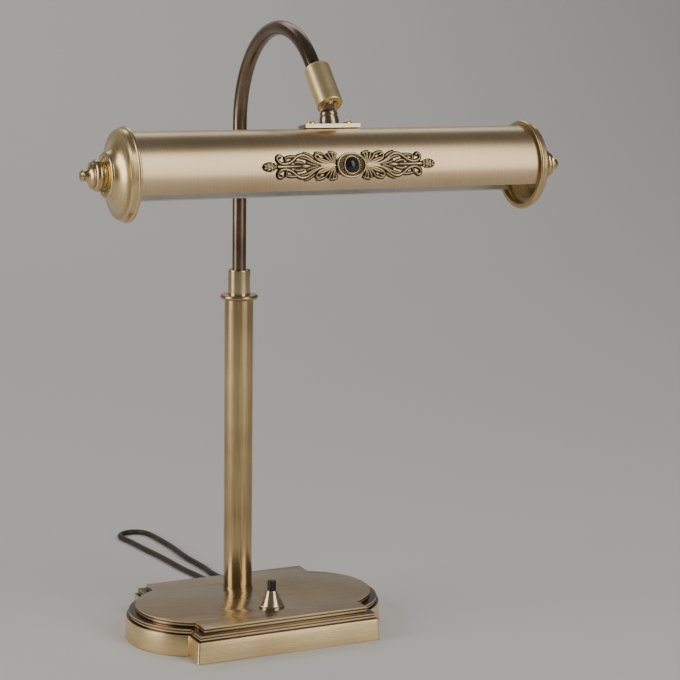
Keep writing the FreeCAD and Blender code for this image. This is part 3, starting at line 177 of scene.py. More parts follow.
def moulded(name, colour, worn, rough, grain=900.0, depth=0.00006):
    """Moulded plastic or rubber: a fine even grain and a slow change of tone from handling."""
    paint = bpy.data.materials.new(name)
    paint.use_nodes = True
    tree = paint.node_tree
    shader = tree.nodes["Principled BSDF"]
    place = tree.nodes.new("ShaderNodeTexCoord")
    clouds = tree.nodes.new("ShaderNodeTexNoise")
    clouds.inputs["Scale"].default_value = 45.0
    clouds.inputs["Detail"].default_value = 3.0
    tones = tree.nodes.new("ShaderNodeValToRGB")
    tones.color_ramp.elements[0].position = 0.30
    tones.color_ramp.elements[0].color = (*colour, 1)
    tones.color_ramp.elements[1].position = 0.72
    tones.color_ramp.elements[1].color = (*worn, 1)
    tree.links.new(place.outputs["Object"], clouds.inputs["Vector"])
    tree.links.new(clouds.outputs["Fac"], tones.inputs["Fac"])
    tree.links.new(tones.outputs["Color"], shader.inputs["Base Color"])
    fine = tree.nodes.new("ShaderNodeTexNoise")
    fine.inputs["Scale"].default_value = grain
    fine.inputs["Detail"].default_value = 2.0
    tree.links.new(place.outputs["Object"], fine.inputs["Vector"])
    sheen = tree.nodes.new("ShaderNodeMapRange")
    sheen.inputs["To Min"].default_value = rough * 0.82
    sheen.inputs["To Max"].default_value = rough * 1.2
    tree.links.new(fine.outputs["Fac"], sheen.inputs["Value"])
    tree.links.new(sheen.outputs["Result"], shader.inputs["Roughness"])
    bump = tree.nodes.new("ShaderNodeBump")
    bump.inputs["Strength"].default_value = 0.35
    bump.inputs["Distance"].default_value = depth
    tree.links.new(fine.outputs["Fac"], bump.inputs["Height"])
    tree.links.new(bump.outputs["Normal"], shader.inputs["Normal"])
    return paint


def coat(piece, paint):
    """Gives a piece its one finish."""
    piece.data.materials.clear()
    piece.data.materials.append(paint)


def finish(name, paint):
    """Gives a piece of the frame its finish."""
    coat(nodes[name], paint)


cord_skin = moulded("cord_skin", (0.030, 0.018, 0.010), (0.050, 0.031, 0.018), 0.42)
cord_curve.materials.append(cord_skin)
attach(mains_cord, "base")
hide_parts("cord_lead", "cord_hank", "cord_tail")
plug_skin = moulded("plug_skin", (0.026, 0.016, 0.010), (0.042, 0.027, 0.017), 0.38)
finish("plug_body", plug_skin)
bushing_skin = moulded("bushing_skin", (0.010, 0.009, 0.009), (0.020, 0.018, 0.017), 0.4)
finish("cord_bushing", bushing_skin)


# The base: one heavy brass casting seen from above as a block with a round lobe at each end.
# A plain band stands on the table, and two moulded tiers, each a bead under a cove and a
# rounded edge, step in to the flat top, which is brushed lengthways and lacquered.
block_x, block_y = 0.0834, 0.0775
lobe_x, lobe_r = 0.0519, 0.0628
foot_z, band_z, slab = 0.0004, 0.0185, 0.001
band_lean, first_ledge, next_ledge = 0.00107, 0.0032, 0.0056
# Each step of a tier's moulding: how high it rises and how far it is sunk.
tier_steps = ((0.0005, 0.0005), (0.0017, 0), (0.0011, 0.0006), (0.00135, 0))
side_wall, side_depth, top_wall, top_depth = 0.0045, 0.0156, 0.011, 0.0086
corner_round, edge_round = 0.0016, 0.00042
column_y, switch_x, switch_y = 0.037, 0.001, -0.0345
column_bore, switch_bore, cord_bore = 0.0083, 0.0053, 0.0044
# What counts as a level face, an upright face, an upright edge and a corner of the block.
level, upright, tall_edge, at_corner = 0.9, 0.3, 0.012, 0.0013


def tool_on(kind, scale=(1.0, 1.0, 1.0), **sizes):
    """Adds one primitive with nothing else selected, with its place and size in its mesh."""
    bpy.ops.object.select_all(action="DESELECT")
    getattr(bpy.ops.mesh, kind)(**sizes)
    piece = bpy.context.active_object
    piece.scale = scale
    bpy.ops.object.transform_apply(location=True, rotation=True, scale=True)
    return piece


def join_solid(first, other, operation):
    """Adds one solid to another, or takes it away."""
    change = first.modifiers.new(operation, "BOOLEAN")
    change.operation = operation
    change.solver = "EXACT"
    change.object = other
    bpy.ops.object.select_all(action="DESELECT")
    bpy.context.view_layer.objects.active = first
    first.select_set(True)
    bpy.ops.object.modifier_apply(modifier=change.name)
    bpy.data.objects.remove(other)


base = tool_on("primitive_cube_add", (block_x * 2, block_y * 2, slab), size=1,
               location=(0, 0, foot_z + slab / 2))
base.name = "base_casting"
for side in (-1, 1):
    lobe = tool_on("primitive_cylinder_add", vertices=128, radius=lobe_r, depth=slab,
                   location=(side * lobe_x, 0, foot_z + slab / 2))
    join_solid(base, lobe, "UNION")


def pick(piece, kind, test):
    """Selects the faces or edges that the test wants, in edit mode."""
    bpy.ops.object.mode_set(mode="OBJECT")
    mesh = piece.data
    for item in list(mesh.vertices) + list(mesh.edges) + list(mesh.polygons):
        item.select = False
    if kind == "FACE":
        for face in mesh.polygons:
            face.select = test(face)
    else:
        for edge in mesh.edges:
            a, b = (mesh.vertices[i].co for i in edge.vertices)
            edge.select = test(a, b)
    bpy.ops.object.mode_set(mode="EDIT")
    bpy.ops.mesh.select_mode(type=kind)


def work_on(piece):
    """Opens one piece in edit mode, with nothing else selected."""
    bpy.ops.object.select_all(action="DESELECT")
    bpy.context.view_layer.objects.active = piece
    piece.select_set(True)
    bpy.ops.object.mode_set(mode="EDIT")


work_on(base)
bpy.ops.mesh.select_all(action="SELECT")
bpy.ops.mesh.remove_doubles(threshold=0.00002)
bpy.ops.mesh.select_all(action="SELECT")
bpy.ops.mesh.dissolve_limited(angle_limit=math.radians(1.0))
top_z = foot_z + slab


def on_top(face):
    return face.normal.z > level and abs(face.center.z - top_z) < 1e-5


pick(base, "FACE", on_top)
bpy.ops.mesh.inset(thickness=band_lean, depth=band_z - top_z)
top_z = band_z
hollows = []
for ledge in (first_ledge - band_lean, next_ledge):
    bpy.ops.mesh.inset(thickness=ledge, depth=0)
    for rise, sunk in tier_steps:
        bpy.ops.mesh.extrude_region_move(TRANSFORM_OT_translate={"value": (0, 0, rise)})
        if sunk:
            hollows.append((top_z, top_z + rise, sunk))
        top_z += rise
for low_z, high_z, sunk in hollows:
    pick(base, "FACE", lambda f: abs(f.normal.z) < upright and low_z < f.center.z < high_z)
    bpy.ops.mesh.extrude_region_shrink_fatten(
        TRANSFORM_OT_shrink_fatten={"value": -sunk, "use_even_offset": True})
pick(base, "FACE", lambda f: f.normal.z < -level and f.center.z < foot_z + 1e-4)
for wall, depth in ((side_wall, side_depth), (top_wall, top_depth)):
    bpy.ops.mesh.inset(thickness=wall, depth=0)
    bpy.ops.mesh.extrude_region_move(TRANSFORM_OT_translate={"value": (0, 0, depth)})
pick(base, "EDGE", lambda a, b: abs(a.z - b.z) > tall_edge
     and abs(abs(a.x) - block_x) < at_corner and abs(abs(a.y) - block_y) < at_corner
     and abs(abs(b.x) - block_x) < at_corner)
bpy.ops.mesh.bevel(offset=corner_round, segments=5)
bpy.ops.object.mode_set(mode="OBJECT")
for place, turn, radius in (((0, column_y, 0.02), 0, column_bore),
                            ((switch_x, switch_y, 0.02), 0, switch_bore),
                            ((0.014, 0.077, 0.010), 90, cord_bore)):
    drill = tool_on("primitive_cylinder_add", vertices=32, radius=radius, depth=0.03,
                    location=place, rotation=(math.radians(turn), 0, 0))
    join_solid(base, drill, "DIFFERENCE")
soften = base.modifiers.new("soften", "BEVEL")
soften.width = edge_round
soften.segments = 3
soften.limit_method = "ANGLE"
soften.angle_limit = math.radians(35)
bpy.context.view_layer.objects.active = base
base.select_set(True)
bpy.ops.object.modifier_apply(modifier="soften")
bpy.ops.object.shade_smooth_by_angle(angle=math.radians(40))


def brass(name, bright, deep, lines, rough=0.30, streak=0.35, cloud=16.0, dark=(), axis_at=None,
          top_tone=None, cut=0.00005):
    """Antique brass, brushed.

    lines gives how many brush lines to the metre run across X, Y and Z. With axis_at, a point
    and a turn, the piece is turned on a lathe about its own Z, and lines counts across its
    radius, its angle and its height. dark lists the heights where patina stays in a groove.
    cut is how deep the brush cuts. top_tone darkens the faces that look up, a painted shade that
    stands in for the dark reflection they show; those faces are brushed along X while the upright
    sides are brushed round the piece.
    """
    paint = bpy.data.materials.new(name)
    paint.use_nodes = True
    tree = paint.node_tree
    add = tree.nodes.new
    link = tree.links.new
    shader = tree.nodes["Principled BSDF"]
    shader.inputs["Metallic"].default_value = 1.0
    shader.inputs["Coat Weight"].default_value = 0.12
    shader.inputs["Coat Roughness"].default_value = 0.22
    texture_place = add("ShaderNodeTexCoord")
    place = texture_place.outputs["Object"]
    own = place
    if axis_at is not None:
        centre, turn = axis_at
        aim = add("ShaderNodeMapping")
        aim.vector_type = "POINT"
        back = turn.to_matrix().transposed()
        aim.inputs["Rotation"].default_value = back.to_euler()
        aim.inputs["Location"].default_value = -(back @ Vector(centre))
        link(place, aim.inputs["Vector"])
        parts = add("ShaderNodeSeparateXYZ")
        link(aim.outputs["Vector"], parts.inputs["Vector"])
        flat = add("ShaderNodeCombineXYZ")
        link(parts.outputs["X"], flat.inputs["X"])
        link(parts.outputs["Y"], flat.inputs["Y"])
        span = add("ShaderNodeVectorMath")
        span.operation = "LENGTH"
        link(flat.outputs["Vector"], span.inputs[0])
        wrap = add("ShaderNodeCombineXYZ")
        link(span.outputs["Value"], wrap.inputs["X"])
        link(parts.outputs["Z"], wrap.inputs["Z"])
        own = wrap.outputs["Vector"]
    if top_tone is not None:
        upward = add("ShaderNodeMapRange")  # 0 on an upright side, 1 on a face that looks up
        facing = add("ShaderNodeSeparateXYZ")
        link(texture_place.outputs["Normal"], facing.inputs["Vector"])
        upward.inputs["From Min"].default_value = 0.80
        upward.inputs["From Max"].default_value = 0.98
        link(facing.outputs["Z"], upward.inputs["Value"])
        side_lines = add("ShaderNodeMapRange")
        side_lines.inputs["To Min"].default_value = lines[0] / lines[1]
        link(upward.outputs["Result"], side_lines.inputs["Value"])
        lie = add("ShaderNodeCombineXYZ")
        lie.inputs["X"].default_value = 1.0
        lie.inputs["Z"].default_value = 1.0
        link(side_lines.outputs["Result"], lie.inputs["Y"])
        laid = add("ShaderNodeVectorMath")
        laid.operation = "MULTIPLY"
        link(own, laid.inputs[0])
        link(lie.outputs["Vector"], laid.inputs[1])
        own = laid.outputs["Vector"]
    stretch = add("ShaderNodeMapping")
    stretch.inputs["Scale"].default_value = lines
    link(own, stretch.inputs["Vector"])
    brush = add("ShaderNodeTexNoise")
    brush.inputs["Scale"].default_value = 1.0
    brush.inputs["Detail"].default_value = 5.0
    brush.inputs["Roughness"].default_value = 0.62
    link(stretch.outputs["Vector"], brush.inputs["Vector"])
    clouds = add("ShaderNodeTexNoise")
    clouds.inputs["Scale"].default_value = cloud
    clouds.inputs["Detail"].default_value = 3.0
    link(place, clouds.inputs["Vector"])
    mix = add("ShaderNodeMix")
    mix.data_type = "FLOAT"
    mix.inputs["Factor"].default_value = streak
    link(clouds.outputs["Fac"], mix.inputs["A"])
    link(brush.outputs["Fac"], mix.inputs["B"])
    tones = add("ShaderNodeValToRGB")
    tones.color_ramp.elements[0].position = 0.34
    tones.color_ramp.elements[0].color = (*deep, 1)
    tones.color_ramp.elements[1].position = 0.62
    tones.color_ramp.elements[1].color = (*bright, 1)
    link(mix.outputs["Result"], tones.inputs["Fac"])
    colour = tones.outputs["Color"]
    if dark:
        ramp_height, groove_stain = 0.04, (0.150, 0.100, 0.066, 1)
        parts = add("ShaderNodeSeparateXYZ")
        link(place, parts.inputs["Vector"])
        ramp = add("ShaderNodeValToRGB")
        ramp.color_ramp.elements.remove(ramp.color_ramp.elements[1])
        ramp.color_ramp.elements[0].position = 0.0
        ramp.color_ramp.elements[0].color = (0, 0, 0, 1)
        for middle, half in dark:
            for height, shade in ((middle - half * 1.6, 0), (middle - half * 0.7, 1),
                                  (middle + half * 0.7, 1), (middle + half * 1.6, 0)):
                stop = ramp.color_ramp.elements.new(height / ramp_height)
                stop.color = (shade, shade, shade, 1)
        reach = add("ShaderNodeMath")
        reach.operation = "MULTIPLY"
        reach.inputs[1].default_value = 1 / ramp_height
        link(parts.outputs["Z"], reach.inputs[0])
        link(reach.outputs["Value"], ramp.inputs["Fac"])
        stain = add("ShaderNodeMix")
        stain.data_type = "RGBA"
        link(ramp.outputs["Color"], stain.inputs["Factor"])
        link(colour, stain.inputs["A"])
        stain.inputs["B"].default_value = groove_stain
        colour = stain.outputs["Result"]
    # Painted shade: the faces that look up are multiplied by a darker tone, standing in for the
    # dark reflection they show.
    if top_tone is not None:
        painted_top_shade = add("ShaderNodeMix")
        painted_top_shade.data_type = "RGBA"
        painted_top_shade.blend_type = "MULTIPLY"
        painted_top_shade.inputs["B"].default_value = (*top_tone, 1)
        link(upward.outputs["Result"], painted_top_shade.inputs["Factor"])
        link(colour, painted_top_shade.inputs["A"])
        colour = painted_top_shade.outputs["Result"]
    link(colour, shader.inputs["Base Color"])
    gloss = add("ShaderNodeMapRange")
    gloss.inputs["From Min"].default_value = 0.3
    gloss.inputs["From Max"].default_value = 0.7
    gloss.inputs["To Min"].default_value = rough * 0.85
    gloss.inputs["To Max"].default_value = rough * 1.2
    link(brush.outputs["Fac"], gloss.inputs["Value"])
    link(gloss.outputs["Result"], shader.inputs["Roughness"])
    bump = add("ShaderNodeBump")
    bump.inputs["Strength"].default_value = 0.14
    bump.inputs["Distance"].default_value = cut
    link(brush.outputs["Fac"], bump.inputs["Height"])
    link(bump.outputs["Normal"], shader.inputs["Normal"])
    return paint


groove_marks = ((0.0187, 0.0004), (0.0212, 0.0005), (0.0233, 0.0004), (0.0259, 0.0005))
# The top is darker than the sides: a painted shade for the dark reflection it shows.
base_metal = brass("base_metal", (0.90, 0.695, 0.375), (0.68, 0.505, 0.255), (22, 900, 900),
                   rough=0.25, dark=groove_marks, top_tone=(0.51, 0.51, 0.62))
coat(base, base_metal)
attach(base, "base")
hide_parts("base_cover")

# Under the base: green felt on a steel sheet, and an iron plate for weight. The column's
# threaded foot and its nut are plain steel.
felt = bpy.data.materials.new("felt_cloth")
felt.use_nodes = True
felt_tree = felt.node_tree
felt_shader = felt_tree.nodes["Principled BSDF"]
felt_shader.inputs["Roughness"].default_value = 0.95
felt_shader.inputs["Sheen Weight"].default_value = 0.3
felt_place = felt_tree.nodes.new("ShaderNodeTexCoord")
felt_fibre = felt_tree.nodes.new("ShaderNodeTexNoise")
felt_fibre.inputs["Scale"].default_value = 700.0
felt_fibre.inputs["Detail"].default_value = 6.0
felt_tones = felt_tree.nodes.new("ShaderNodeValToRGB")
felt_tones.color_ramp.elements[0].color = (0.015, 0.035, 0.018, 1)
felt_tones.color_ramp.elements[1].color = (0.045, 0.085, 0.048, 1)
felt_bump = felt_tree.nodes.new("ShaderNodeBump")
felt_bump.inputs["Strength"].default_value = 0.5
felt_bump.inputs["Distance"].default_value = 0.0003
felt_tree.links.new(felt_place.outputs["Object"], felt_fibre.inputs["Vector"])
felt_tree.links.new(felt_fibre.outputs["Fac"], felt_tones.inputs["Fac"])
felt_tree.links.new(felt_tones.outputs["Color"], felt_shader.inputs["Base Color"])
felt_tree.links.new(felt_fibre.outputs["Fac"], felt_bump.inputs["Height"])
felt_tree.links.new(felt_bump.outputs["Normal"], felt_shader.inputs["Normal"])
finish("base_felt", felt)
plain_steel = brass("zinc_steel", (0.56, 0.56, 0.55), (0.40, 0.40, 0.41), (160, 160, 160),
                    rough=0.36, cloud=60.0)
rough_iron = moulded("rough_iron", (0.030, 0.030, 0.032), (0.065, 0.060, 0.056), 0.7,
                     grain=500.0, depth=0.0004)
for name in ("base_bottom", "column_foot", "column_nut"):
    finish(name, plain_steel)
finish("base_ballast", rough_iron)

# The column: drawn brass tube with a turned flange ring on its end, and in it a polished
# gland nut that grips the arm. The patina is brushed off unevenly along its length.
column_metal = brass("column_metal", (0.70, 0.525, 0.27), (0.36, 0.245, 0.11), (1100, 1100, 14),
                     rough=0.20, streak=0.55)
finish("column", column_metal)
upright_turn = Matrix.Identity(3).to_euler()
flange_metal = brass("flange_metal", (0.58, 0.44, 0.235), (0.34, 0.24, 0.12), (900, 1, 900),
                     rough=0.25, axis_at=((0, column_y, 0), upright_turn))
finish("flange_ring", flange_metal)
nut_metal = brass("nut_metal", (0.74, 0.59, 0.35), (0.60, 0.45, 0.24), (500, 1, 700),
                  rough=0.15, streak=0.2, axis_at=((0, column_y, 0), upright_turn))
finish("gland_nut", nut_metal)
friction_ring = moulded("friction_ring", (0.25, 0.22, 0.17), (0.33, 0.30, 0.24), 0.45)
finish("collet", friction_ring)
finish("arm_guide", friction_ring)

# The arm: one brass tube, straight where it slides in the column and bent to a crook above.
# Its patina is left darker and browner than the rest.
arm_metal = brass("arm_metal", (0.250, 0.178, 0.118), (0.150, 0.103, 0.068), (160, 160, 60),
                  rough=0.24, streak=0.3, cloud=22.0)
finish("arm_tube", arm_metal)

# The joint: a polished turned barrel with the tube let into one end and the ball in the
# other, a steel cup behind the ball, and the stud with its nut that carries the shade.
shade_lean = math.radians(10.25)
barrel_end, ball_middle = (0, -0.13983, 0.45755), (0, -0.13494, 0.46284)
barrel_way = Vector((0, -0.6782, -0.7349))
barrel_turn = (-barrel_way).to_track_quat("Z", "Y").to_matrix().to_euler()
bell_turn = Matrix.Rotation(-shade_lean, 3, "X").to_euler()
barrel_metal = brass("barrel_metal", (1.0, 0.80, 0.43), (0.90, 0.70, 0.35), (240, 1, 240),
                     rough=0.35, streak=0.08, cut=0.000004,
                     axis_at=(barrel_end, barrel_turn))
finish("barrel", barrel_metal)
finish("ball_cup", plain_steel)
stud_metal = brass("stud_metal", (0.62, 0.50, 0.33), (0.45, 0.34, 0.20), (300, 300, 300),
                   rough=0.2, streak=0.2)
for name in ("ball_stud", "stud_nut"):
    finish(name, stud_metal)
for name in ("stud_washer", "stud_end_nut", "lamp_bracket"):
    finish(name, plain_steel)
bell_metal = brass("bell_metal", (0.40, 0.31, 0.21), (0.26, 0.19, 0.12), (500, 1, 700),
                   rough=0.22, axis_at=(ball_middle, bell_turn))
finish("bell", bell_metal)
plate_metal = brass("plate_metal", (0.60, 0.50, 0.34), (0.44, 0.34, 0.21), (20, 900, 900),
                    rough=0.25)
finish("shade_plate", plate_metal)

# The two screws that hold the plate: round heads of bright brass, each with a straight slot.
# They stand a little proud of the plate and show as small golden domes.
head_radius, shank_radius, shank_length = 0.0037, 0.0020, 0.009
head_rim, slot_floor, slot_width, slot_height = 0.0012, 0.0022, 0.0009, 0.003
plate_height, screw_reach = 0.0346, 0.0155
# The head's dome in rings: how far each stands in from the last and how far it rises.
dome_rings = ((0.00040, 0.0007), (0.00052, 0.0006), (0.00066, 0.0005), (0.00086, 0.0004),
              (0.00076, 0.00017))
shade_axis = Vector((0, -0.14473, 0.40872))
shade_up = Vector((0, math.sin(shade_lean), math.cos(shade_lean)))
screw_metal = brass("screw_metal", (1.0, 0.79, 0.36), (0.92, 0.69, 0.28), (300, 300, 300),
                    rough=0.36, streak=0.2)
for side, word, slot_turn in ((-1, "left", -26), (1, "right", 38)):
    screw = tool_on("primitive_cylinder_add", vertices=48, radius=head_radius, depth=head_rim,
                    location=(0, 0, head_rim / 2))
    screw.name = "round_screw_" + word
    pick(screw, "FACE", lambda f: f.normal.z < -level)
    bpy.ops.mesh.inset(thickness=head_radius - shank_radius, depth=0)
    bpy.ops.mesh.extrude_region_move(TRANSFORM_OT_translate={"value": (0, 0, -shank_length)})
    pick(screw, "FACE", lambda f: f.normal.z > level)
    for inward, rise in dome_rings:
        bpy.ops.mesh.inset(thickness=inward, depth=rise)
    bpy.ops.object.mode_set(mode="OBJECT")
    drive = tool_on("primitive_cube_add", (slot_width, 0.010, slot_height), size=1,
                    location=(0, 0, slot_floor + slot_height / 2),
                    rotation=(0, 0, math.radians(slot_turn)))
    join_solid(screw, drive, "DIFFERENCE")
    screw.rotation_euler = (-shade_lean, 0, 0)
    screw.location = (shade_axis + Vector((side * screw_reach, 0, 0))
                      + shade_up * plate_height)
    bpy.ops.object.transform_apply(location=True, rotation=True, scale=True)
    bpy.ops.object.shade_smooth_by_angle(angle=math.radians(40))
    coat(screw, screw_metal)
    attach(screw, "shade")
    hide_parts("plate_screw_" + word)

# The shade: a tube of thin brass open along its underside, brushed round and round on the
# outside and enamelled white on the inside.
shade_r, white_from = 0.0316, 0.0311
lying_turn = Matrix.Rotation(math.radians(90), 3, "Y").to_euler()
shade_metal = brass("shade_metal", (0.665, 0.515, 0.315), (0.47, 0.34, 0.19), (30, 30, 900),
                    rough=0.32, streak=0.55, cloud=9.0, cut=0.00002,
                    axis_at=(shade_axis, lying_turn))
finish("shade_tube", shade_metal)


def first_of(tree, kind):
    """The first node of its kind in a material."""
    return [n for n in tree.nodes if n.type == kind][0]


shade_tree = shade_metal.node_tree
out_of_axis = first_of(shade_tree, "VECT_MATH")
white_side = shade_tree.nodes.new("ShaderNodeMath")
white_side.operation = "LESS_THAN"
white_side.inputs[1].default_value = white_from
shade_tree.links.new(out_of_axis.outputs["Value"], white_side.inputs[0])
enamel = shade_tree.nodes.new("ShaderNodeBsdfPrincipled")
enamel.inputs["Roughness"].default_value = 0.28
enamel_peel = shade_tree.nodes.new("ShaderNodeTexNoise")
enamel_peel.inputs["Scale"].default_value = 260.0
enamel_tones = shade_tree.nodes.new("ShaderNodeValToRGB")
enamel_tones.color_ramp.elements[0].color = (0.80, 0.79, 0.76, 1)
enamel_tones.color_ramp.elements[1].color = (0.90, 0.89, 0.87, 1)
enamel_bump = shade_tree.nodes.new("ShaderNodeBump")
enamel_bump.inputs["Strength"].default_value = 0.15
enamel_bump.inputs["Distance"].default_value = 0.0001
shade_place = first_of(shade_tree, "TEX_COORD")
shade_tree.links.new(shade_place.outputs["Object"], enamel_peel.inputs["Vector"])
shade_tree.links.new(enamel_peel.outputs["Fac"], enamel_tones.inputs["Fac"])
shade_tree.links.new(enamel_tones.outputs["Color"], enamel.inputs["Base Color"])
shade_tree.links.new(enamel_peel.outputs["Fac"], enamel_bump.inputs["Height"])
shade_tree.links.new(enamel_bump.outputs["Normal"], enamel.inputs["Normal"])
two_sides = shade_tree.nodes.new("ShaderNodeMixShader")
shade_out = first_of(shade_tree, "OUTPUT_MATERIAL")
shade_tree.links.new(white_side.outputs["Value"], two_sides.inputs["Fac"])
shade_tree.links.new(shade_tree.nodes["Principled BSDF"].outputs["BSDF"], two_sides.inputs[1])
shade_tree.links.new(enamel.outputs["BSDF"], two_sides.inputs[2])
shade_tree.links.new(two_sides.outputs["Shader"], shade_out.inputs["Surface"])

# The end caps and finials: spun brass with a rolled rim, and a turned knob on each.
cap_metal = brass("cap_metal", (0.76, 0.585, 0.30), (0.55, 0.405, 0.195), (700, 30, 700),
                  rough=0.26, streak=0.3, axis_at=(shade_axis, lying_turn))
knob_metal = brass("knob_metal", (0.68, 0.515, 0.265), (0.47, 0.34, 0.165), (700, 30, 500),
                   rough=0.23, streak=0.25, axis_at=(shade_axis, lying_turn))
for side in ("left", "right"):
    finish("end_cap_" + side, cap_metal)
    finish("finial_" + side, knob_metal)

# The lampholders: black moulded sleeves on the bracket's ears, each with a frosted tubular bulb.
holder_skin = moulded("holder_skin", (0.014, 0.013, 0.012), (0.026, 0.024, 0.022), 0.35)
bulb_metal = brass("bulb_metal", (0.80, 0.79, 0.75), (0.62, 0.61, 0.58), (900, 900, 900),
                   rough=0.25)
bulb_glass = bpy.data.materials.new("frosted_glass")
bulb_glass.use_nodes = True
glass_tree = bulb_glass.node_tree
glass_shader = glass_tree.nodes["Principled BSDF"]
glass_shader.inputs["Transmission Weight"].default_value = 0.55
glass_shader.inputs["IOR"].default_value = 1.45
glass_place = glass_tree.nodes.new("ShaderNodeTexCoord")
glass_frost = glass_tree.nodes.new("ShaderNodeTexNoise")
glass_frost.inputs["Scale"].default_value = 900.0
glass_tones = glass_tree.nodes.new("ShaderNodeValToRGB")
glass_tones.color_ramp.elements[0].color = (0.84, 0.83, 0.80, 1)
glass_tones.color_ramp.elements[1].color = (0.95, 0.945, 0.92, 1)
glass_gloss = glass_tree.nodes.new("ShaderNodeMapRange")
glass_gloss.inputs["To Min"].default_value = 0.22
glass_gloss.inputs["To Max"].default_value = 0.42
glass_tree.links.new(glass_place.outputs["Object"], glass_frost.inputs["Vector"])
glass_tree.links.new(glass_frost.outputs["Fac"], glass_tones.inputs["Fac"])
glass_tree.links.new(glass_tones.outputs["Color"], glass_shader.inputs["Base Color"])
glass_tree.links.new(glass_frost.outputs["Fac"], glass_gloss.inputs["Value"])
glass_tree.links.new(glass_gloss.outputs["Result"], glass_shader.inputs["Roughness"])
for side in ("left", "right"):
    finish("lampholder_" + side, holder_skin)
    finish("bulb_" + side, bulb_glass)
    finish("bulb_cap_" + side, bulb_metal)

# The ornament: a cast openwork plate of leaves and scrolls, bent to the shade's front, dark in
# its hollows from patina and painted shade, and rubbed bright on its ridges. An oval frame in
# its middle holds a black stone.
# Every stroke is (along, up, half width) in millimetres, for the right upper quarter.
upper_strokes = (
    ((15.0, 0.6, 0.85), (21.0, 0.8, 0.85), (26.5, 1.4, 0.85), (31.0, 4.0, 0.8), (35.2, 7.3, 0.8),
     (39.8, 8.8, 0.8), (44.4, 7.2, 0.8), (48.0, 3.9, 0.75), (52.6, 1.9, 0.75), (56.9, 2.0, 0.72),
     (60.2, 4.2, 0.7), (60.2, 7.4, 0.7), (57.4, 8.4, 0.8), (56.4, 6.4, 1.0)),
    ((44.0, 6.9, 0.35), (48.4, 7.9, 0.75), (53.4, 6.6, 0.35)),
    ((13.5, 0.9, 0.8), (18.6, 1.7, 0.78), (23.6, 2.9, 0.75), (27.6, 4.6, 0.75), (29.4, 7.6, 0.7),
     (26.8, 9.0, 0.7), (25.2, 6.9, 0.85)),
    ((12.6, 1.5, 0.5), (13.6, 5.6, 0.8), (11.4, 10.0, 0.75)),
    ((13.0, 1.3, 0.5), (14.7, 5.6, 0.85), (14.9, 10.3, 0.8)),
    ((13.4, 1.2, 0.5), (16.8, 5.2, 0.85), (18.3, 9.8, 0.75)),
    ((13.9, 1.1, 0.45), (18.7, 4.4, 0.8), (21.4, 8.6, 0.7)),
    ((25.0, 0.9, 0.4), (31.0, 2.2, 0.6), (36.2, 5.6, 0.35)),
    ((27.0, 0.5, 0.4), (32.5, 0.9, 0.55), (37.0, 3.0, 0.3)),
    ((17.0, 2.3, 0.5), (22.4, 4.6, 0.95), (27.2, 5.6, 0.4)),
    ((30.2, 6.0, 0.5), (33.4, 9.0, 0.85), (38.4, 10.1, 0.4)),
    ((31.6, 3.4, 0.4), (36.0, 6.2, 0.7), (41.6, 6.6, 0.35)),
    ((38.6, 1.9, 0.4), (43.0, 3.8, 0.8), (46.6, 2.6, 0.4)),
    ((52.0, 2.2, 0.4), (54.4, 4.6, 0.75), (53.4, 7.6, 0.4)),
    ((10.6, 8.4, 0.5), (13.0, 10.2, 0.75), (17.0, 10.2, 0.5)),
    ((21.6, 8.4, 0.5), (24.6, 10.1, 0.7), (28.6, 9.7, 0.4)),
)
middle_strokes = (
    ((12.0, 0, 1.1), (18.0, 0, 1.15), (25.0, 0, 0.7)),
    ((32.4, 0, 0.3), (36.0, 0, 1.35), (39.4, 0, 1.25), (42.0, 0, 0.4)),
    ((41.0, 0, 0.45), (50.0, 0, 0.6), (60.5, 0, 1.05)),
)
strokes = []
for side in (-1, 1):
    for stroke in middle_strokes:
        strokes.append([(side * a, b, r) for a, b, r in stroke])
    for up in (-1, 1):
        for stroke in upper_strokes:
            strokes.append([(side * a, up * b, r) for a, b, r in stroke])


def laid_strokes(name, wider, lift, squash_z):
    """Lays every stroke as a tube on a flat board and presses it flat."""
    curve = bpy.data.curves.new(name, "CURVE")
    curve.dimensions = "3D"
    curve.bevel_depth = 0.001
    curve.bevel_resolution = 2
    curve.use_fill_caps = True
    for stroke in strokes:
        line = curve.splines.new("NURBS")
        line.points.add(len(stroke) - 1)
        for point, (a, b, r) in zip(line.points, stroke):
            point.co = (a / 1000, b / 1000, 0, 1)
            point.radius = r + wider
        line.order_u = 3
        line.use_endpoint_u = True
        line.resolution_u = 5
    piece = bpy.data.objects.new(name, curve)
    bpy.context.scene.collection.objects.link(piece)
    bpy.ops.object.select_all(action="DESELECT")
    bpy.context.view_layer.objects.active = piece
    piece.select_set(True)
    bpy.ops.object.convert(target="MESH")
    for vertex in piece.data.vertices:
        vertex.co.z = vertex.co.z * squash_z + lift
    return piece


def small_dome(x, y, z, wide, high, tall, turn=0.0):
    """One scale or tooth: a small dome, turned on the board."""
    return tool_on("primitive_uv_sphere_add", (wide, high, tall), segments=12, ring_count=8,
                   radius=1.0, location=(x, y, z), rotation=(0, 0, turn))


def oval_ring(half_x, half_y, thick, z):
    """A round wire bent to an oval. The ring it starts from is a tenth as thick as it is wide."""
    ring = tool_on("primitive_torus_add", major_segments=72, minor_segments=10, major_radius=1.0,
                   minor_radius=0.1, location=(0, 0, 0))
    for vertex in ring.data.vertices:
        angle = math.atan2(vertex.co.y, vertex.co.x)
        off = math.hypot(vertex.co.x, vertex.co.y) - 1.0
        vertex.co = ((half_x + off * thick * 10) * math.cos(angle),
                     (half_y + off * thick * 10) * math.sin(angle),
                     vertex.co.z * thick * 10 + z)
    return ring


def join_all(name, pieces):
    """Makes one piece of many."""
    bpy.ops.object.select_all(action="DESELECT")
    for piece in pieces:
        piece.select_set(True)
    bpy.context.view_layer.objects.active = pieces[0]
    bpy.ops.object.join()
    pieces[0].name = name
    return pieces[0]
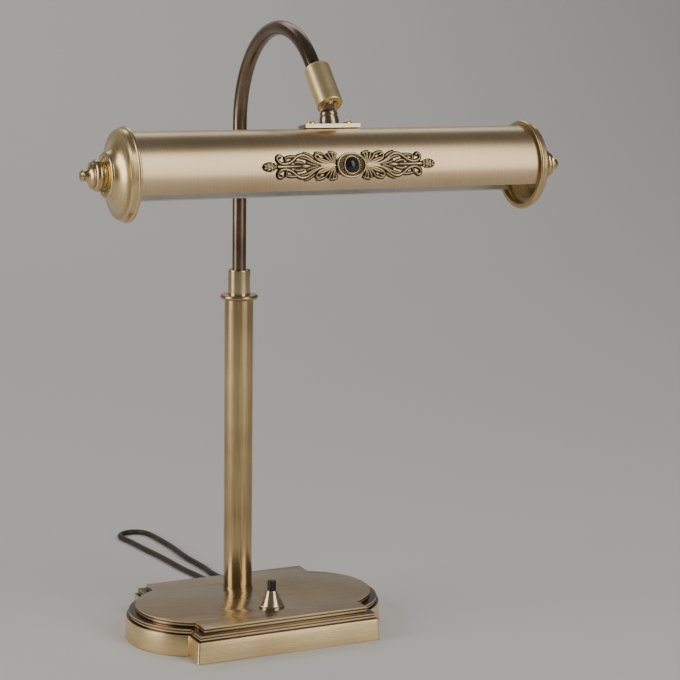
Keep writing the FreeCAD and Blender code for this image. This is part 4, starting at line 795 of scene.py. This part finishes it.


# The beds: every stroke widened by a millimetre and pressed low, so they take the dark hollow
# colour: patina and painted shade between the strokes.
leaf_pieces = [laid_strokes("leaf_beds", wider=1.0, lift=0.0003, squash_z=0.30),
               laid_strokes("leaf_ridges", wider=0.12, lift=0.0008, squash_z=0.9)]
# The bud at each end: how far along each row of scales lies, and how many it has.
bud_middle, scale_gap, scale_fan = 0.0668, 0.0019, 0.35
bud_rows = ((0.0625, 3), (0.0652, 4), (0.0680, 3), (0.0705, 2))
for side in (-1, 1):
    leaf_pieces.append(small_dome(side * bud_middle, 0, 0.0004,
                                  wide=0.0061, high=0.0038, tall=0.0008))
    for along, count in bud_rows:
        for k in range(count):
            off_middle = k - (count - 1) / 2
            leaf_pieces.append(small_dome(side * along, off_middle * scale_gap, 0.0011,
                                          wide=0.0014, high=0.0008, tall=0.0008,
                                          turn=side * off_middle * scale_fan))
leafwork = join_all("leafwork", leaf_pieces)

frame_pieces = [
    tool_on("primitive_cylinder_add", (0.0122, 0.0090, 0.0016), vertices=72, radius=1.0, depth=1.0,
            location=(0, 0, 0.0018)),
    oval_ring(0.0115, 0.0083, thick=0.0009, z=0.0031),
    oval_ring(0.0096, 0.0071, thick=0.0004, z=0.0029),
    oval_ring(0.0063, 0.0060, thick=0.0005, z=0.0036),
]
teeth, teeth_x, teeth_y = 30, 0.0082, 0.0067
for k in range(teeth):
    angle = 2 * math.pi * (k + 0.5) / teeth
    tooth_x, tooth_y = teeth_x * math.cos(angle), teeth_y * math.sin(angle)
    frame_pieces.append(small_dome(tooth_x, tooth_y, 0.0028, wide=0.0014, high=0.00045, tall=0.0009,
                                   turn=math.atan2(tooth_y, tooth_x)))
oval_frame = join_all("oval_frame", frame_pieces)

# Both are bent from the flat board to the shade's round front.
front_way = Vector((0, -math.cos(shade_lean), math.sin(shade_lean)))
for piece in (leafwork, oval_frame):
    for vertex in piece.data.vertices:
        along, up, out = vertex.co
        round_by = up / shade_r
        vertex.co = shade_axis + Vector((along, 0, 0)) + (shade_r + out) * (
            front_way * math.cos(round_by) + shade_up * math.sin(round_by))
    work_on(piece)
    bpy.ops.mesh.select_all(action="SELECT")
    bpy.ops.mesh.remove_doubles(threshold=0.000002)
    bpy.ops.mesh.normals_make_consistent(inside=False)
    bpy.ops.object.mode_set(mode="OBJECT")
    bpy.ops.object.shade_smooth_by_angle(angle=math.radians(50))


def relief_brass(name, hollow, ridge, from_out, to_out):
    """Cast brass, dark in its hollows for patina and painted shade: the tone follows height off the
    shade.
    """
    worn_share = 0.72
    paint = brass(name, ridge, tuple(c * worn_share for c in ridge), (500, 30, 500), rough=0.27,
                  streak=0.3, cloud=120.0, axis_at=(shade_axis, lying_turn))
    tree = paint.node_tree
    span = first_of(tree, "VECT_MATH")
    shader = tree.nodes["Principled BSDF"]
    old = shader.inputs["Base Color"].links[0].from_socket
    height = tree.nodes.new("ShaderNodeMapRange")
    height.inputs["From Min"].default_value = shade_r + from_out
    height.inputs["From Max"].default_value = shade_r + to_out
    tree.links.new(span.outputs["Value"], height.inputs["Value"])
    # Dark hollow colour low on the relief and ridge brass high on it: patina and painted shade in
    # the hollows.
    hollow_patina_shade = tree.nodes.new("ShaderNodeMix")
    hollow_patina_shade.data_type = "RGBA"
    hollow_patina_shade.inputs["A"].default_value = (*hollow, 1)
    tree.links.new(height.outputs["Result"], hollow_patina_shade.inputs["Factor"])
    tree.links.new(old, hollow_patina_shade.inputs["B"])
    tree.links.new(hollow_patina_shade.outputs["Result"], shader.inputs["Base Color"])
    return paint


coat(leafwork, relief_brass("leaf_brass", (0.060, 0.040, 0.024), (0.60, 0.46, 0.25),
                            0.0009, 0.0017))
coat(oval_frame, relief_brass("frame_brass", (0.055, 0.036, 0.021), (0.56, 0.43, 0.235),
                              0.0030, 0.0039))
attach(leafwork, "shade")
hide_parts("ornament")
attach(oval_frame, "shade")
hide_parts("ornament_frame")
black_stone = moulded("black_stone", (0.008, 0.008, 0.009), (0.020, 0.018, 0.020), 0.08,
                      grain=200.0, depth=0.00002)
finish("ornament_stone", black_stone)

# The switch: a turned brass cone on the base with a black push button in it. Its working
# part is a black moulded block held under the top.
collar_metal = brass("collar_metal", (0.66, 0.53, 0.33), (0.48, 0.36, 0.20), (900, 1, 900),
                     rough=0.2, streak=0.3, axis_at=((switch_x, switch_y, 0), upright_turn))
finish("switch_collar", collar_metal)
finish("switch_block", holder_skin)
button_skin = moulded("button_skin", (0.009, 0.009, 0.010), (0.018, 0.018, 0.019), 0.16,
                      grain=400.0, depth=0.00002)
finish("button", button_skin)

# The plug's two pins: bright round brass, moulded into the plug's body at the cord's end.
# They are plain turned rod, with no patina.
pin_metal = brass("pin_metal", (0.78, 0.66, 0.42), (0.62, 0.50, 0.30), (200, 200, 200), rough=0.2)
for side in ("left", "right"):
    finish("plug_pin_" + side, pin_metal)
